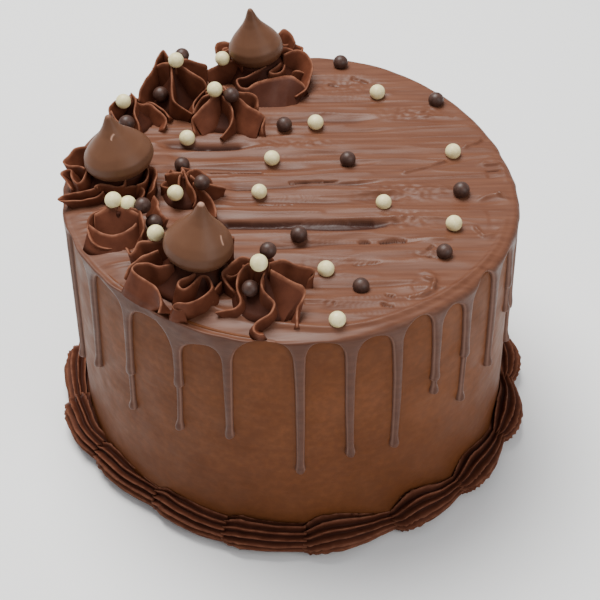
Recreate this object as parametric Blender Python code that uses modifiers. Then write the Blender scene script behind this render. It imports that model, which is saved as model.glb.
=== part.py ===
"""Round chocolate cake: a tall frosted body, a poured ganache cap that drips down the side,
piped rosettes in a crescent, pointed chocolate drops, sugar pearls and a piped shell border.

Metres, +Z up. The origin is the centre of the flat base, and -Y is the front.
"""
import math
import random

import bmesh
import bpy
import numpy as np
from mathutils import Matrix, Vector
from mathutils.bvhtree import BVHTree

MM = 0.001
GAP = 0.3 * MM

# The frosted body
CAKE_RADIUS = 80 * MM
TOP_HEIGHT = 100 * MM
BODY_EDGE = 2.6 * MM
BODY_SEGMENTS = 56
ROUNDING_STEPS = 3

# How far the rim is drawn in and out of round, as shares of the radius for 0 to 4 waves a turn.
# The unevenness fades to nothing at the top of the border round the foot.
RIM_WAVES = ((0, -0.020, 0.0), (1, 0.006, 0.0), (2, -0.003, -0.001), (3, -0.018, -0.010),
             (4, 0.009, -0.010))
ROUND_FOOT = 18 * MM

# The poured cap
CAP_THICKNESS = 2.4 * MM
SKIRT_THICKNESS = 1.5 * MM
CAP_EDGE = 3.2 * MM
COLUMN_STEP = 3
CHORD_STEPS = 9
ARCH_TOP = 95 * MM
ARCH_DEPTH = 9 * MM
DEEP_ARCH_ANGLE = 240
DEEP_ARCH_WIDTH = 16
DEEP_ARCH_DROP = 4.0 * MM
LIP_RISE = 1.2 * MM

# Drips that show: the angle in degrees and the height of the tip
SHOWN_DRIPS = ((190.7, 32), (208.9, 49), (224.5, 45), (240.0, 48), (253.8, 52), (271.1, 38),
               (283.5, 43.5), (294.9, 42.5), (306.1, 60), (315.9, 47), (327.8, 51), (339.6, 63.5),
               (349.3, 36.5))
HIDDEN_DRIPS = 14
DRIP_WIDTH = 3.3 * MM
DRIP_THICKNESS = 1.2 * MM
DRIP_BULB = 4.0 * MM
DRIP_ROOT = 9.0 * MM

# Spatula grooves across the top: place along Y, from X, to X, depth, half width
GROOVES = ((62, 12, 34, 0.7, 2.2), (50, 0, 44, 0.9, 3.0), (38, -14, 36, 1.1, 2.2),
           (31, -16, 40, 0.9, 1.8), (24, -50, -8, 2.0, 2.2), (18, -46, 30, 0.9, 1.9),
           (10, -48, 12, 1.0, 2.0), (0, -26, 34, 1.4, 1.8), (-8, -26, 46, 0.9, 2.4),
           (-21, -32, 40, 2.2, 2.4), (-32, -12, 50, 1.3, 2.0), (-43, -14, 34, 0.8, 2.4),
           (-53, 2, 44, 1.1, 2.2), (-64, 6, 34, 0.8, 2.2))
GROOVE_FADE = 7 * MM

# Rosettes: centre X and Y, radius, height, fins, turn in degrees
ROSETTES = {
    "rosette_back": (-10.5, 67.0, 18.5, 10.0, 8, 25),
    "rosette_back_tall": (-43.5, 52.5, 14.0, 16.0, 6, 50),
    "rosette_back_inner": (-23.5, 40.0, 14.0, 12.0, 7, 55),
    "rosette_back_small": (-58.5, 38.0, 11.0, 11.0, 6, 60),
    "rosette_left": (-63.0, 1.5, 17.5, 10.0, 8, 25),
    "rosette_inner": (-36.5, -6.0, 11.5, 9.5, 7, 60),
    "rosette_left_small": (-58.5, -24.5, 11.5, 9.5, 6, 60),
    "rosette_front": (-33.5, -49.5, 18.5, 10.0, 9, 25),
    "rosette_front_inner": (-9.0, -60.5, 16.0, 13.0, 7, 55),
}
ROSETTE_REACH = 81 * MM
FIN_HALF_THICKNESS = 0.9 * MM
# Sections from the base up: share of height, share of radius at a fin and in a valley, turn
OPEN_SECTIONS = ((0.0, 0.84, 0.50, 0.0), (0.2, 1.0, 0.42, 0.15), (0.46, 0.86, 0.32, 0.45),
                 (0.7, 0.58, 0.24, 0.75), (0.9, 0.31, 0.16, 0.95), (1.0, 0.13, 0.09, 1.0))
CUP_SECTIONS = ((0.0, 0.84, 0.52, 0.0), (0.35, 1.0, 0.55, 0.3), (0.7, 0.96, 0.62, 0.7),
                (1.0, 0.84, 0.70, 1.0))

# Pointed chocolate drops: the rosette that holds it, base centre X and Y, lean along X, size
DROPS = {
    "chocolate_drop_back": ("rosette_back", -12.7, 69.0, 6, 0.95),
    "chocolate_drop_left": ("rosette_left", -60.2, 2.6, 9, 1.06),
    "chocolate_drop_front": ("rosette_front", -30.9, -46.2, -6, 1.0),
}
DROP_PROFILE = ((0.0, 21.8), (0.9, 21.5), (1.7, 19.6), (2.6, 17.4), (4.2, 14.8), (6.6, 12.0),
                (9.0, 9.2), (10.8, 6.4), (11.3, 3.6), (10.2, 1.2), (8.6, 0.0), (0.0, 0.0))
DROP_SEGMENTS = 12
DROP_SEAT = 8.0 * MM
SEAT_RADIUS = 10.4 * MM
CUP_RIM_RADIUS = 11.5 * MM
CUP_RIM_HEIGHT = 9.3 * MM

# Sugar pearls on the cap and on the rosettes: X and Y
PEARL_RADIUS = 2.85 * MM
PEARL_SINK = 1.0 * MM
CAP_PEARLS = ((-37.8, 26.6), (-7.0, 13.3), (9.0, 34.5), (-11.4, -5.7), (32.6, 53.6), (57.8, 15.7),
              (31.5, -12.8), (54.7, -24.8), (10.8, -47.3), (13.8, -71.8), (-2.5, 33.3),
              (2.1, -29.5), (19.4, 73.5), (54.2, 47.7), (20.0, 12.0), (58.8, -6.7),
              (50.3, -39.6), (22.0, -54.8), (-39.0, 11.3), (-44.2, -28.4), (-44.2, -21.6))
ROSETTE_PEARLS = {
    "rosette_back": ((-25.6, 66.3),),
    "rosette_back_tall": ((-41.9, 55.5), (-40.3, 60.2), (-48.3, 47.8)),
    "rosette_back_inner": ((-27.5, 41.6), (-21.6, 39.4)),
    "rosette_back_small": ((-60.0, 38.5), (-59.4, 30.5)),
    "rosette_inner": ((-39.8, -12.2), (-31.0, -8.8)),
    "rosette_left_small": ((-61.5, -20.5), (-56.0, -21.0), (-51.5, -21.2)),
    "rosette_front_inner": ((-10.9, -59.2), (-8.0, -49.8), (-13.8, -65.0)),
}

# The shell border piped round the foot
# Angles where the shells that show start; the others are spread evenly behind
SHELL_STARTS = (206.2, 228.5, 249.5, 269.7, 293.9, 314.2, 335.0, 356.0)
HIDDEN_SHELLS = 10
SHELL_SECTIONS = 5
SHELL_CENTRE = CAKE_RADIUS + 2.2 * MM
SHELL_HEAD = 7.4 * MM
SHELL_TAIL = 4.6 * MM
SHELL_RIDGES = 6
RIDGE_DEPTH = 0.11
# How far the border's outside lies further in, by angle in degrees
BORDER_PULL = ((0, 1.8), (20, 0.0), (189, 0.0), (204, 0.5), (211, 3.2), (233, 5.7), (249, 2.9),
               (262, 2.6), (273, 1.9), (291, 3.6), (310, 2.1), (330, 1.3), (341, 0.8), (360, 1.8))


def remove_start_objects():
    for thing in list(bpy.data.objects):
        bpy.data.objects.remove(thing, do_unlink=True)


def new_collection(name, shown=True):
    collection = bpy.data.collections.new(name)
    bpy.context.scene.collection.children.link(collection)
    collection.hide_render = not shown
    return collection


def material(name, colour, roughness):
    made = bpy.data.materials.new(name)
    made.use_nodes = True
    shader = made.node_tree.nodes["Principled BSDF"]
    shader.inputs["Base Color"].default_value = (*colour, 1.0)
    shader.inputs["Roughness"].default_value = roughness
    shader.inputs["Metallic"].default_value = 0.0
    return made


def add_object(name, mesh, collection, surface=None, location=(0, 0, 0)):
    thing = bpy.data.objects.new(name, mesh)
    thing.location = location
    collection.objects.link(thing)
    if surface:
        mesh.materials.append(surface)
    mesh.shade_smooth()
    return thing


def mesh_from(name, points, faces):
    """Make a closed mesh from points and faces, with its faces pointing out."""
    mesh = bpy.data.meshes.new(name)
    mesh.from_pydata([tuple(point) for point in points], [], faces)
    work = bmesh.new()
    work.from_mesh(mesh)
    bmesh.ops.recalc_face_normals(work, faces=work.faces)
    work.to_mesh(mesh)
    work.free()
    return mesh


def loft_faces(rings, count):
    """Quads between closed rings of equal point count, with a cap on each end."""
    faces = []
    for ring in range(rings - 1):
        for k in range(count):
            nxt = (k + 1) % count
            low = ring * count
            high = low + count
            faces.append((low + k, low + nxt, high + nxt, high + k))
    faces.append(tuple(reversed(range(count))))
    faces.append(tuple(range((rings - 1) * count, rings * count)))
    return faces


def apply_modifiers(thing):
    """Replace an object's mesh by what its modifiers make of it."""
    bpy.context.view_layer.update()
    evaluated = thing.evaluated_get(bpy.context.evaluated_depsgraph_get())
    mesh = bpy.data.meshes.new_from_object(evaluated)
    thing.modifiers.clear()
    thing.data = mesh
    return mesh


def fuse(thing, additions):
    """Join every object in a collection to one solid, and remove the collection's objects.

    The EXACT solver leaves open edges where a drip's root crosses the rim's columns.
    """
    union = thing.modifiers.new("Fuse", "BOOLEAN")
    union.operation = "UNION"
    union.operand_type = "COLLECTION"
    union.collection = additions
    union.solver = "MANIFOLD"
    apply_modifiers(thing)
    for extra in list(additions.objects):
        bpy.data.objects.remove(extra, do_unlink=True)
    bpy.data.collections.remove(additions)
    thing.data.shade_smooth()


def smooth(value):
    value = min(max(value, 0.0), 1.0)
    return value * value * (3 - 2 * value)


def side_radius(angle, height):
    """Radius of the frosted side at an angle in radians and a height."""
    uneven = 0.0
    for waves, along, across in RIM_WAVES:
        uneven += along * math.cos(waves * angle) + across * math.sin(waves * angle)
    share = (height - ROUND_FOOT) / (TOP_HEIGHT - ROUND_FOOT)
    return CAKE_RADIUS * (1 + uneven * min(max(share, 0.0), 1.0))


def around(angle, radius, height):
    return Vector((radius * math.cos(angle), radius * math.sin(angle), height))


def groove_depth(x, y):
    """How far the spatula has ploughed below the crests of the top."""
    depth = 0.0
    for place, start, stop, deep, half_width in GROOVES:
        drift = 1.1 * MM * math.sin(x / (19 * MM) + place)
        across = (y - place * MM - drift) / (half_width * MM)
        along = smooth((x - start * MM) / GROOVE_FADE) * smooth((stop * MM - x) / GROOVE_FADE)
        depth += deep * MM * math.exp(-across * across) * along
    wave = 0.5 + 0.5 * math.sin(y / (1.9 * MM) + 0.8 * math.sin(x / (23 * MM)))
    return depth + 0.5 * MM * wave


def top_height(x, y):
    """Height of the cap's top, which runs level close to the rim."""
    rim = CAKE_RADIUS - CAP_EDGE - math.hypot(x, y)
    return TOP_HEIGHT - groove_depth(x, y) * (0.25 + 0.75 * smooth(rim / (9 * MM)))


def make_body(collection, surface):
    """The frosted cake: a turned profile with a rounded top edge, then made uneven."""
    top = TOP_HEIGHT - CAP_THICKNESS - GAP
    inner = CAKE_RADIUS - BODY_EDGE
    profile = [(0.0, top)]
    for step in range(ROUNDING_STEPS + 1):
        turn = math.pi / 2 * step / ROUNDING_STEPS
        profile.append((inner + BODY_EDGE * math.sin(turn), top - BODY_EDGE * (1 - math.cos(turn))))
    profile += [(CAKE_RADIUS, ROUND_FOOT), (CAKE_RADIUS, 0.0), (0.0, 0.0)]
    thing = turned("cake_body", profile, BODY_SEGMENTS, collection)
    for vertex in thing.data.vertices:
        angle = math.atan2(vertex.co.y, vertex.co.x)
        share = side_radius(angle, vertex.co.z) / CAKE_RADIUS
        vertex.co.x *= share
        vertex.co.y *= share
    thing.data.materials.append(surface)
    return thing


def turned(name, profile, segments, collection):
    """Turn a profile of (radius, height) pairs, top to bottom, into a solid."""
    mesh = bpy.data.meshes.new(name)
    edges = [(k, k + 1) for k in range(len(profile) - 1)]
    mesh.from_pydata([(radius, 0.0, height) for radius, height in profile], edges, [])
    thing = add_object(name, mesh, collection)
    screw = thing.modifiers.new("Turn", "SCREW")
    screw.steps = segments
    screw.render_steps = segments
    screw.use_merge_vertices = True
    screw.merge_threshold = 0.0001
    screw.use_smooth_shade = True
    apply_modifiers(thing)
    return thing


def drip_list():
    """Every drip as (angle in degrees, tip height): those that show, then a rule behind."""
    chance = random.Random(11)
    drips = [(angle, tip * MM) for angle, tip in SHOWN_DRIPS]
    first = SHOWN_DRIPS[-1][0]
    span = SHOWN_DRIPS[0][0] + 360 - first
    step = span / (HIDDEN_DRIPS + 1)
    for number in range(1, HIDDEN_DRIPS + 1):
        angle = first + step * number + chance.uniform(-1.6, 1.6)
        drips.append((angle % 360, chance.uniform(36, 66) * MM))
    return sorted(drips)


def skirt_bottom(degrees, drips):
    """Height of the cap's lower edge: an arch between each two drips."""
    angles = [angle for angle, tip in drips]
    after = next((k for k, angle in enumerate(angles) if angle > degrees), 0)
    left = angles[after - 1]
    right = angles[after]
    width = (right - left) % 360
    place = 2 * ((degrees - left) % 360) / width - 1
    turn = (degrees - DEEP_ARCH_ANGLE + 180) % 360 - 180
    deeper = DEEP_ARCH_DROP * math.exp(-(turn / DEEP_ARCH_WIDTH) ** 2)
    return ARCH_TOP - deeper - ARCH_DEPTH * place ** 4


def cap_rings(angle, bottom):
    """One column of the cap's shell, from the top's edge over the rim, round the lip and back."""
    outer = SKIRT_THICKNESS + GAP
    rows = []
    for step in range(ROUNDING_STEPS + 1):
        turn = math.pi / 2 * step / ROUNDING_STEPS
        height = TOP_HEIGHT - 0.15 * MM - CAP_EDGE * (1 - math.cos(turn))
        rows.append((outer - CAP_EDGE * (1 - math.sin(turn)), height))
    rows.append((outer, bottom + LIP_RISE))
    rows.append((GAP + 0.45 * SKIRT_THICKNESS, bottom))
    rows.append((GAP, bottom + 0.5 * LIP_RISE))
    under = TOP_HEIGHT - CAP_THICKNESS
    for step in range(ROUNDING_STEPS):
        turn = math.pi / 2 * step / (ROUNDING_STEPS - 1)
        reach = BODY_EDGE * (1 - math.cos(turn))
        rows.append((GAP - reach, under - BODY_EDGE * (1 - math.sin(turn))))
    return [around(angle, side_radius(angle, height) + offset, height) for offset, height in rows]


def make_cap(collection, surface, drips):
    """The poured cap: a top of chords across the cake, joined to a ring of columns."""
    count = 360 // COLUMN_STEP
    columns = []
    for k in range(count):
        bottom = skirt_bottom(k * COLUMN_STEP, drips)
        columns.append(cap_rings(math.radians(k * COLUMN_STEP), bottom))
    rows = len(columns[0])
    points = [columns[k][row] for row in range(rows) for k in range(count)]
    faces = []
    for row in range(rows - 1):
        for k in range(count):
            nxt = (k + 1) % count
            faces.append((row * count + k, row * count + nxt,
                          (row + 1) * count + nxt, (row + 1) * count + k))
    faces.append(tuple((rows - 1) * count + k for k in range(count)))
    faces += chord_faces(points, count)
    return add_object("ganache_cap", mesh_from("ganache_cap", points, faces), collection, surface)


def chord_faces(points, count):
    """Rows of quads over the top, each row on a chord from the left rim to the right rim."""
    quarter = count // 4
    chords = [[(-quarter) % count]]
    for row in range(1, 2 * quarter):
        right = (row - quarter) % count
        left = (3 * quarter - row) % count
        chord = [left]
        for step in range(1, CHORD_STEPS):
            place = points[left].lerp(points[right], step / CHORD_STEPS)
            points.append(Vector((place.x, place.y, top_height(place.x, place.y))))
            chord.append(len(points) - 1)
        chord.append(right)
        chords.append(chord)
    chords.append([quarter])
    faces = []
    for low, high in zip(chords, chords[1:]):
        if len(low) == 1:
            faces += [(low[0], high[k + 1], high[k]) for k in range(CHORD_STEPS)]
        elif len(high) == 1:
            faces += [(low[k], low[k + 1], high[0]) for k in range(CHORD_STEPS)]
        else:
            faces += [(low[k], low[k + 1], high[k + 1], high[k]) for k in range(CHORD_STEPS)]
    return faces


def drip_mesh(name, degrees, tip, chance):
    """A drip: a rounded strip that flares into the cap, thins, and ends in a bulb."""
    root = ARCH_TOP - 1.5 * MM
    length = root - tip
    bead = chance.uniform(0.38, 0.62)
    half = DRIP_WIDTH / 2
    sections = ((0.0, 2.1 * half, 0.8), (DRIP_ROOT / length, 1.25 * half, 0.9),
                (0.8 * bead, 0.95 * half, 1.0), (bead, 1.2 * half, 1.2),
                (1 - 4.6 * MM / length, 0.85 * half, 1.0),
                (1 - 1.9 * MM / length, DRIP_BULB / 2, 1.7), (1.0, 0.9 * MM, 0.9))
    sway = chance.uniform(-0.8, 0.8) * MM
    points = []
    for place, wide, thick in sections:
        height = root - length * place
        shift = sway * math.sin(math.pi * min(place / bead, 1.0))
        for across, out in ((-1.0, 0.0), (-0.7, 0.72), (0.0, 1.0), (0.7, 0.72), (1.0, 0.0)):
            angle = math.radians(degrees) + (across * wide + shift) / CAKE_RADIUS
            radius = side_radius(angle, height) + GAP + 0.05 * MM + out * thick * DRIP_THICKNESS
            points.append(around(angle, radius, height))
    return mesh_from(name, points, loft_faces(len(sections), 5))


def pearl_mesh(name):
    """A pearl of few sides, whose mean radius is the real one."""
    work = bmesh.new()
    bmesh.ops.create_uvsphere(work, u_segments=6, v_segments=4, radius=PEARL_RADIUS * 1.08)
    mesh = bpy.data.meshes.new(name)
    work.to_mesh(mesh)
    work.free()
    return mesh


def dress_cap(cap, drips):
    """Fuse the drips and the pearls to the cap."""
    chance = random.Random(5)
    additions = new_collection("cap_additions", shown=False)
    for number, (degrees, tip) in enumerate(drips):
        name = f"drip_{number}"
        add_object(name, drip_mesh(name, degrees, tip, chance), additions)
    for x, y in CAP_PEARLS:
        height = top_height(x * MM, y * MM) + PEARL_RADIUS - PEARL_SINK
        pearl = add_object("pearl", pearl_mesh("pearl"), additions, location=(x * MM, y * MM, height))
        pearl.rotation_euler = (0.3, 0.2, x)
    fuse(cap, additions)


def rosette_limit(name, direction):
    """How far a rosette may reach one way before it meets a neighbour or overhangs the rim."""
    x, y, radius = (value * MM for value in ROSETTES[name][:3])
    limit = 1.2 * radius
    for other, (ox, oy, size, *_) in ROSETTES.items():
        if other == name:
            continue
        away = Vector((ox * MM - x, oy * MM - y))
        apart = away.length
        share = (apart ** 2 + radius ** 2 - (size * MM) ** 2) / (2 * apart)
        facing = direction.dot(away / apart)
        if facing > 0.05:
            limit = min(limit, (share - 0.6 * MM) / facing)
    centre = Vector((x, y))
    along = centre.dot(direction)
    rim = -along + math.sqrt(along ** 2 + ROSETTE_REACH ** 2 - centre.length_squared)
    return min(limit, rim)


def rosette_ring(name, shift, fin_radius, valley_radius, height, turn, fins, uneven, slope):
    """One section of a rosette: three points a fin, a thin outer edge and a deep valley."""
    x, y = ROSETTES[name][0] * MM + shift.x, ROSETTES[name][1] * MM + shift.y
    ring = []
    for fin in range(fins):
        middle = 2 * math.pi * fin / fins + turn
        half = min(math.asin(min(FIN_HALF_THICKNESS / fin_radius, 1.0)), 0.3 * math.pi / fins)
        places = ((middle - math.pi / fins, valley_radius), (middle - half, fin_radius * uneven[fin]),
                  (middle + half, fin_radius * uneven[fin]))
        for angle, radius in places:
            direction = Vector((math.cos(angle), math.sin(angle)))
            reach = min(radius, rosette_limit(name, direction))
            spot = direction * reach
            ring.append(Vector((x + spot.x, y + spot.y, height + slope * spot.x)))
    return ring


def make_rosette(name, collection, surface, chance):
    """A piped rosette of thin fins round a centre, with a cup on top if it holds a drop."""
    x, y, radius, height, fins, turn = ROSETTES[name]
    base = TOP_HEIGHT + GAP
    radius *= MM
    height *= MM
    uneven = [chance.uniform(0.92, 1.06) for fin in range(fins)]
    phase = chance.uniform(0, 2 * math.pi)
    holds = [drop[1:4] for drop in DROPS.values() if drop[0] == name]
    sections = CUP_SECTIONS if holds else OPEN_SECTIONS
    slope = math.tan(math.radians(holds[0][2])) if holds else 0.0
    away = Vector((holds[0][0] - x, holds[0][1] - y)) * MM if holds else Vector((0, 0))
    points = []
    for level, fin_share, valley_share, turned_share in sections:
        angle = phase + math.radians(turn) * turned_share
        points += rosette_ring(name, away * level, fin_share * radius, valley_share * radius,
                               base + level * height, angle, fins, uneven, slope * level)
    rings = len(sections)
    if holds:
        for cup_radius, level in ((CUP_RIM_RADIUS, CUP_RIM_HEIGHT), (SEAT_RADIUS, DROP_SEAT - GAP)):
            points += cup_ring(name, holds[0], cup_radius, base + level, fins, phase, turn, slope)
        rings += 2
    thing = add_object(name, mesh_from(name, points, loft_faces(rings, 3 * fins)), collection, surface)
    pearls = ROSETTE_PEARLS.get(name, ())
    if pearls:
        fuse(thing, pearls_on(thing, pearls))
    return thing


def cup_ring(name, held, radius, height, fins, phase, turn, slope):
    """A round ring of the seat, centred under the drop and tilted with it."""
    x = ROSETTES[name][0] * MM
    ring = []
    for k in range(3 * fins):
        angle = 2 * math.pi * (k - 1) / (3 * fins) + phase + math.radians(turn)
        spot = Vector((held[0] * MM + radius * math.cos(angle), held[1] * MM + radius * math.sin(angle)))
        ring.append(Vector((spot.x, spot.y, height + slope * (spot.x - x))))
    return ring


def pearls_on(thing, places):
    """Pearls that each lie where a straight drop from above meets the solid."""
    additions = new_collection("pearls", shown=False)
    work = bmesh.new()
    work.from_mesh(thing.data)
    tree = BVHTree.FromBMesh(work)
    for x, y in places:
        hit = tree.ray_cast(Vector((x * MM, y * MM, 2 * TOP_HEIGHT)), Vector((0, 0, -1)))
        ground = hit[0].z if hit[0] else TOP_HEIGHT
        height = ground + PEARL_RADIUS - PEARL_SINK
        pearl = add_object("pearl", pearl_mesh("pearl"), additions, location=(x * MM, y * MM, height))
        pearl.rotation_euler = (0.2, 0.3, y)
    work.free()
    return additions


def make_drop(name, collection, surface):
    """A pointed chocolate drop, turned, then leaned over on its seat."""
    held, x, y, lean, size = DROPS[name]
    profile = [(radius * size * MM, height * size * MM) for radius, height in DROP_PROFILE]
    thing = turned(name, profile, DROP_SEGMENTS, collection)
    thing.data.materials.append(surface)
    slope = math.tan(math.radians(lean))
    seat = TOP_HEIGHT + GAP + DROP_SEAT + slope * (x - ROSETTES[held][0]) * MM
    axis = Vector((-slope, 0, 1)).normalized()
    tilt = Vector((0, 0, 1)).rotation_difference(axis).to_matrix().to_4x4()
    thing.matrix_world = Matrix.Translation((x * MM, y * MM, seat)) @ tilt
    return thing


def shell_size(place, head):
    """Radius along one shell: a quick rise to the fat head, then a long taper to the tail."""
    if place < 0.22:
        return SHELL_TAIL + (head - SHELL_TAIL) * smooth(place / 0.22)
    return head + (SHELL_TAIL - head) * smooth((place - 0.22) / 0.78)


def shell_starts():
    """Start angle of every shell, with the first one again at the end."""
    last = SHELL_STARTS[-1]
    step = (SHELL_STARTS[0] + 360 - last) / (HIDDEN_SHELLS + 1)
    return list(SHELL_STARTS) + [last + step * (number + 1) for number in range(HIDDEN_SHELLS + 1)]


def border_squash(degrees):
    """Share of the full thickness that the border keeps at an angle."""
    angles, pulls = np.transpose(BORDER_PULL)
    full = (SHELL_CENTRE - CAKE_RADIUS + SHELL_HEAD) / MM
    return 1 - float(np.interp(degrees % 360, angles, pulls)) / full


def make_border(collection, surface):
    """The shell border: one ring of ridged shells, flat below and against the cake."""
    chance = random.Random(3)
    outline = 2 * SHELL_RIDGES + 1
    points = []
    starts = shell_starts()
    for start, stop in zip(starts, starts[1:]):
        head = SHELL_HEAD * chance.uniform(0.93, 1.05)
        for section in range(SHELL_SECTIONS):
            place = section / SHELL_SECTIONS
            degrees = start + place * (stop - start)
            points += border_ring(degrees, shell_size(place, head), outline)
    count = outline + 1
    rings = len(points) // count
    faces = []
    for ring in range(rings):
        low = ring * count
        high = (ring + 1) % rings * count
        for k in range(count):
            nxt = (k + 1) % count
            faces.append((low + k, low + nxt, high + nxt, high + k))
    return add_object("shell_border", mesh_from("shell_border", points, faces), collection, surface)


def border_ring(degrees, size, outline):
    """One section: ridges from the cake side over the top to the floor, then a flat foot."""
    inner = CAKE_RADIUS + GAP
    angle = math.radians(degrees)
    squash = border_squash(degrees)
    ring = [around(angle, inner, 0.0)]
    for k in range(outline):
        turn = math.pi * (0.93 - 1.22 * k / (outline - 1))
        ridge = 1 + (RIDGE_DEPTH if k % 2 else -RIDGE_DEPTH)
        radius = SHELL_CENTRE + size * ridge * math.cos(turn)
        height = 0.97 * size + size * ridge * math.sin(turn)
        ring.append(around(angle, inner + squash * max(radius - inner, 0.0), max(height, 0.0)))
    return ring


def main():
    remove_start_objects()
    parts = new_collection("chocolate_cake")
    frosting = material("frosting", (0.17, 0.075, 0.035), 0.5)
    ganache = material("ganache", (0.14, 0.065, 0.04), 0.3)
    buttercream = material("buttercream", (0.09, 0.035, 0.022), 0.42)
    chocolate = material("milk_chocolate", (0.21, 0.11, 0.06), 0.35)
    drips = drip_list()
    chance = random.Random(21)
    make_body(parts, frosting)
    dress_cap(make_cap(parts, ganache, drips), drips)
    for name in ROSETTES:
        make_rosette(name, parts, buttercream, chance)
    for name in DROPS:
        make_drop(name, parts, chocolate)
    make_border(parts, buttercream)


main()
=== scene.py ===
"""Looks of the chocolate cake: frosted side, dripping ganache, piped rosettes, drops, pearls and border.

Lengths inside the shape functions are in millimetres, and angles in degrees run from +X towards +Y.
"""
import math
import random

import bmesh
import bpy
import numpy as np
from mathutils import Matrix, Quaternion, Vector, noise
from mathutils.bvhtree import BVHTree


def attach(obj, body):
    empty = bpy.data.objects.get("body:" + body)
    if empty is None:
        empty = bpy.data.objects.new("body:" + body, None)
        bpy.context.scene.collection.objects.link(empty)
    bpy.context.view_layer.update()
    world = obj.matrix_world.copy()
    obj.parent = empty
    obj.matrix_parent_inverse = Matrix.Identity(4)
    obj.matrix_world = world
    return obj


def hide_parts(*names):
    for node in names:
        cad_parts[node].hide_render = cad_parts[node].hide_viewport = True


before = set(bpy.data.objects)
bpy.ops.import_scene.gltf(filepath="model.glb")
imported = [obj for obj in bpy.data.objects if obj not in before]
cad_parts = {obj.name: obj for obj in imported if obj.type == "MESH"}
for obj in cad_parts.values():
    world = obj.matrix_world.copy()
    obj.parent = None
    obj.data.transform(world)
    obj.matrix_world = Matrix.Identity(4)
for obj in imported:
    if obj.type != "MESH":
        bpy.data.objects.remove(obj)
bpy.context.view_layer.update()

MM = 0.001

# The frosted body and the cap's top, as in the CAD
CAKE_RADIUS = 80.0
TOP_HEIGHT = 100.0
ROUND_FOOT = 18.0
RIM_WAVES = ((0, -0.020, 0.0), (1, 0.006, 0.0), (2, -0.003, -0.001), (3, -0.018, -0.010),
             (4, 0.009, -0.010))
GROOVES = ((62, 12, 34, 0.7, 2.2), (50, 0, 44, 0.9, 3.0), (38, -14, 36, 1.1, 2.2),
           (31, -16, 40, 0.9, 1.8), (24, -50, -8, 2.0, 2.2), (18, -46, 30, 0.9, 1.9),
           (10, -48, 12, 1.0, 2.0), (0, -26, 34, 1.4, 1.8), (-8, -26, 46, 0.9, 2.4),
           (-21, -32, 40, 2.2, 2.4), (-32, -12, 50, 1.3, 2.0), (-43, -14, 34, 0.8, 2.4),
           (-53, 2, 44, 1.1, 2.2), (-64, 6, 34, 0.8, 2.2))
GROOVE_FADE = 7.0
# The frosting lies this far inside the CAD's side, because the ganache adds to it
SIDE_TRIM = 0.8

# The drips' angles and tip heights, as in the CAD, and how far down each an upper run ends (0: none)
SHOWN_DRIPS = ((190.7, 31.7, 0.0), (208.9, 49.3, 0.0), (224.5, 45.1, 0.66), (240.0, 48.1, 0.56),
               (253.8, 51.8, 0.0), (271.1, 37.8, 0.0), (283.5, 43.5, 0.0), (294.9, 42.5, 0.0),
               (306.1, 59.9, 0.80), (315.9, 47.3, 0.56), (327.8, 51.3, 0.0), (339.6, 63.6, 0.62),
               (349.3, 36.5, 0.7))
HIDDEN_DRIPS = 14
BULB_RADIUS = 1.75
FLARE = 6.0
DRIP_START = 98.0
ARCH_DEPTH = 3.5
# Where the arches between the drips reach, as angle and height along the unrolled side
ARCH_TOPS = ((0, 98.0), (180, 98.0), (205, 97.0), (218, 95.5), (228, 93.5), (235, 94.0), (243, 89.8),
             (252, 92.5), (262, 98.8), (279, 97.6), (291, 96.8), (303, 99.6), (313, 96.5), (324, 99.8),
             (332, 97.5), (345, 97.5), (360, 98.0))
GANACHE_THICKNESS = 1.7
EDGE_RADIUS = 2.6
# The side ends where the rounded rim starts; across the rim lies the flat part of the top
SIDE_HEIGHT = TOP_HEIGHT - EDGE_RADIUS
RIM_ARC = math.pi / 2 * EDGE_RADIUS
FLAT_REACH = CAKE_RADIUS - EDGE_RADIUS
# The wide soft shoulder at the front left: how far the top sinks at the rim, by angle
SHOULDER_DROP = ((0, 0.0), (170, 0.0), (195, 1.6), (235, 2.6), (262, 2.2), (285, 0.5), (292, 0.0),
                 (360, 0.0))
SHOULDER_WIDTH = 10.0
# The low lip that the spatula left inside the rim: its distance from the rim, by angle
LIP_INSET = ((0, 1.2), (240, 6.5), (255, 6.0), (271, 3.6), (280, 1.8), (290, 1.2), (360, 1.2))
# The ganache's edge: width of its rounded bead, how pale its painted highlight line is, and how deep its back
# is sunk
BEAD_WIDTH = 1.5
EDGE_PALE = 0.4
UNDER = 0.25
# Height of the waves along the rim
RIM_WAVE = 0.6
# Painted shade: how much darker the ganache is drawn on the side than on the top
SIDE_SHADE = 0.42
# Painted shade: how much darker the side is drawn at its foot, and up to what height
FOOT_SHADE = 0.5
FOOT_SHADE_TOP = 60
# Fineness of the frosted side, and of the ganache: row steps, and columns beyond each reach from the middle
SIDE_COLUMNS = 540
SIDE_ROWS = 112
SIDE_STEP = 0.55
RIM_ROWS = 9
TOP_STEP = 0.6
COLUMNS_BY_REACH = ((52, 1152), (24, 576), (12, 288), (0, 144))
# Depths inside the ganache's outline where its sheet is cut, so that the bead comes out round
EDGE_CUTS = (0.0, 0.1, 0.35, 0.8)
# Points closer than this, in metres, are joined
WELD_DISTANCE = 1e-6

# Stroke ends on the top: centre X and Y, half length and half width, turn, first and last angle
STROKE_ENDS = ((67.0, -19.5, 13.0, 8.5, 55, -150, 75), (69.5, 2.0, 10.0, 6.5, 75, -95, 60),
               (38.0, -54.5, 9.0, 6.0, 35, -110, 50), (60.0, 38.0, 11.0, 6.0, 120, -80, 40))
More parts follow.
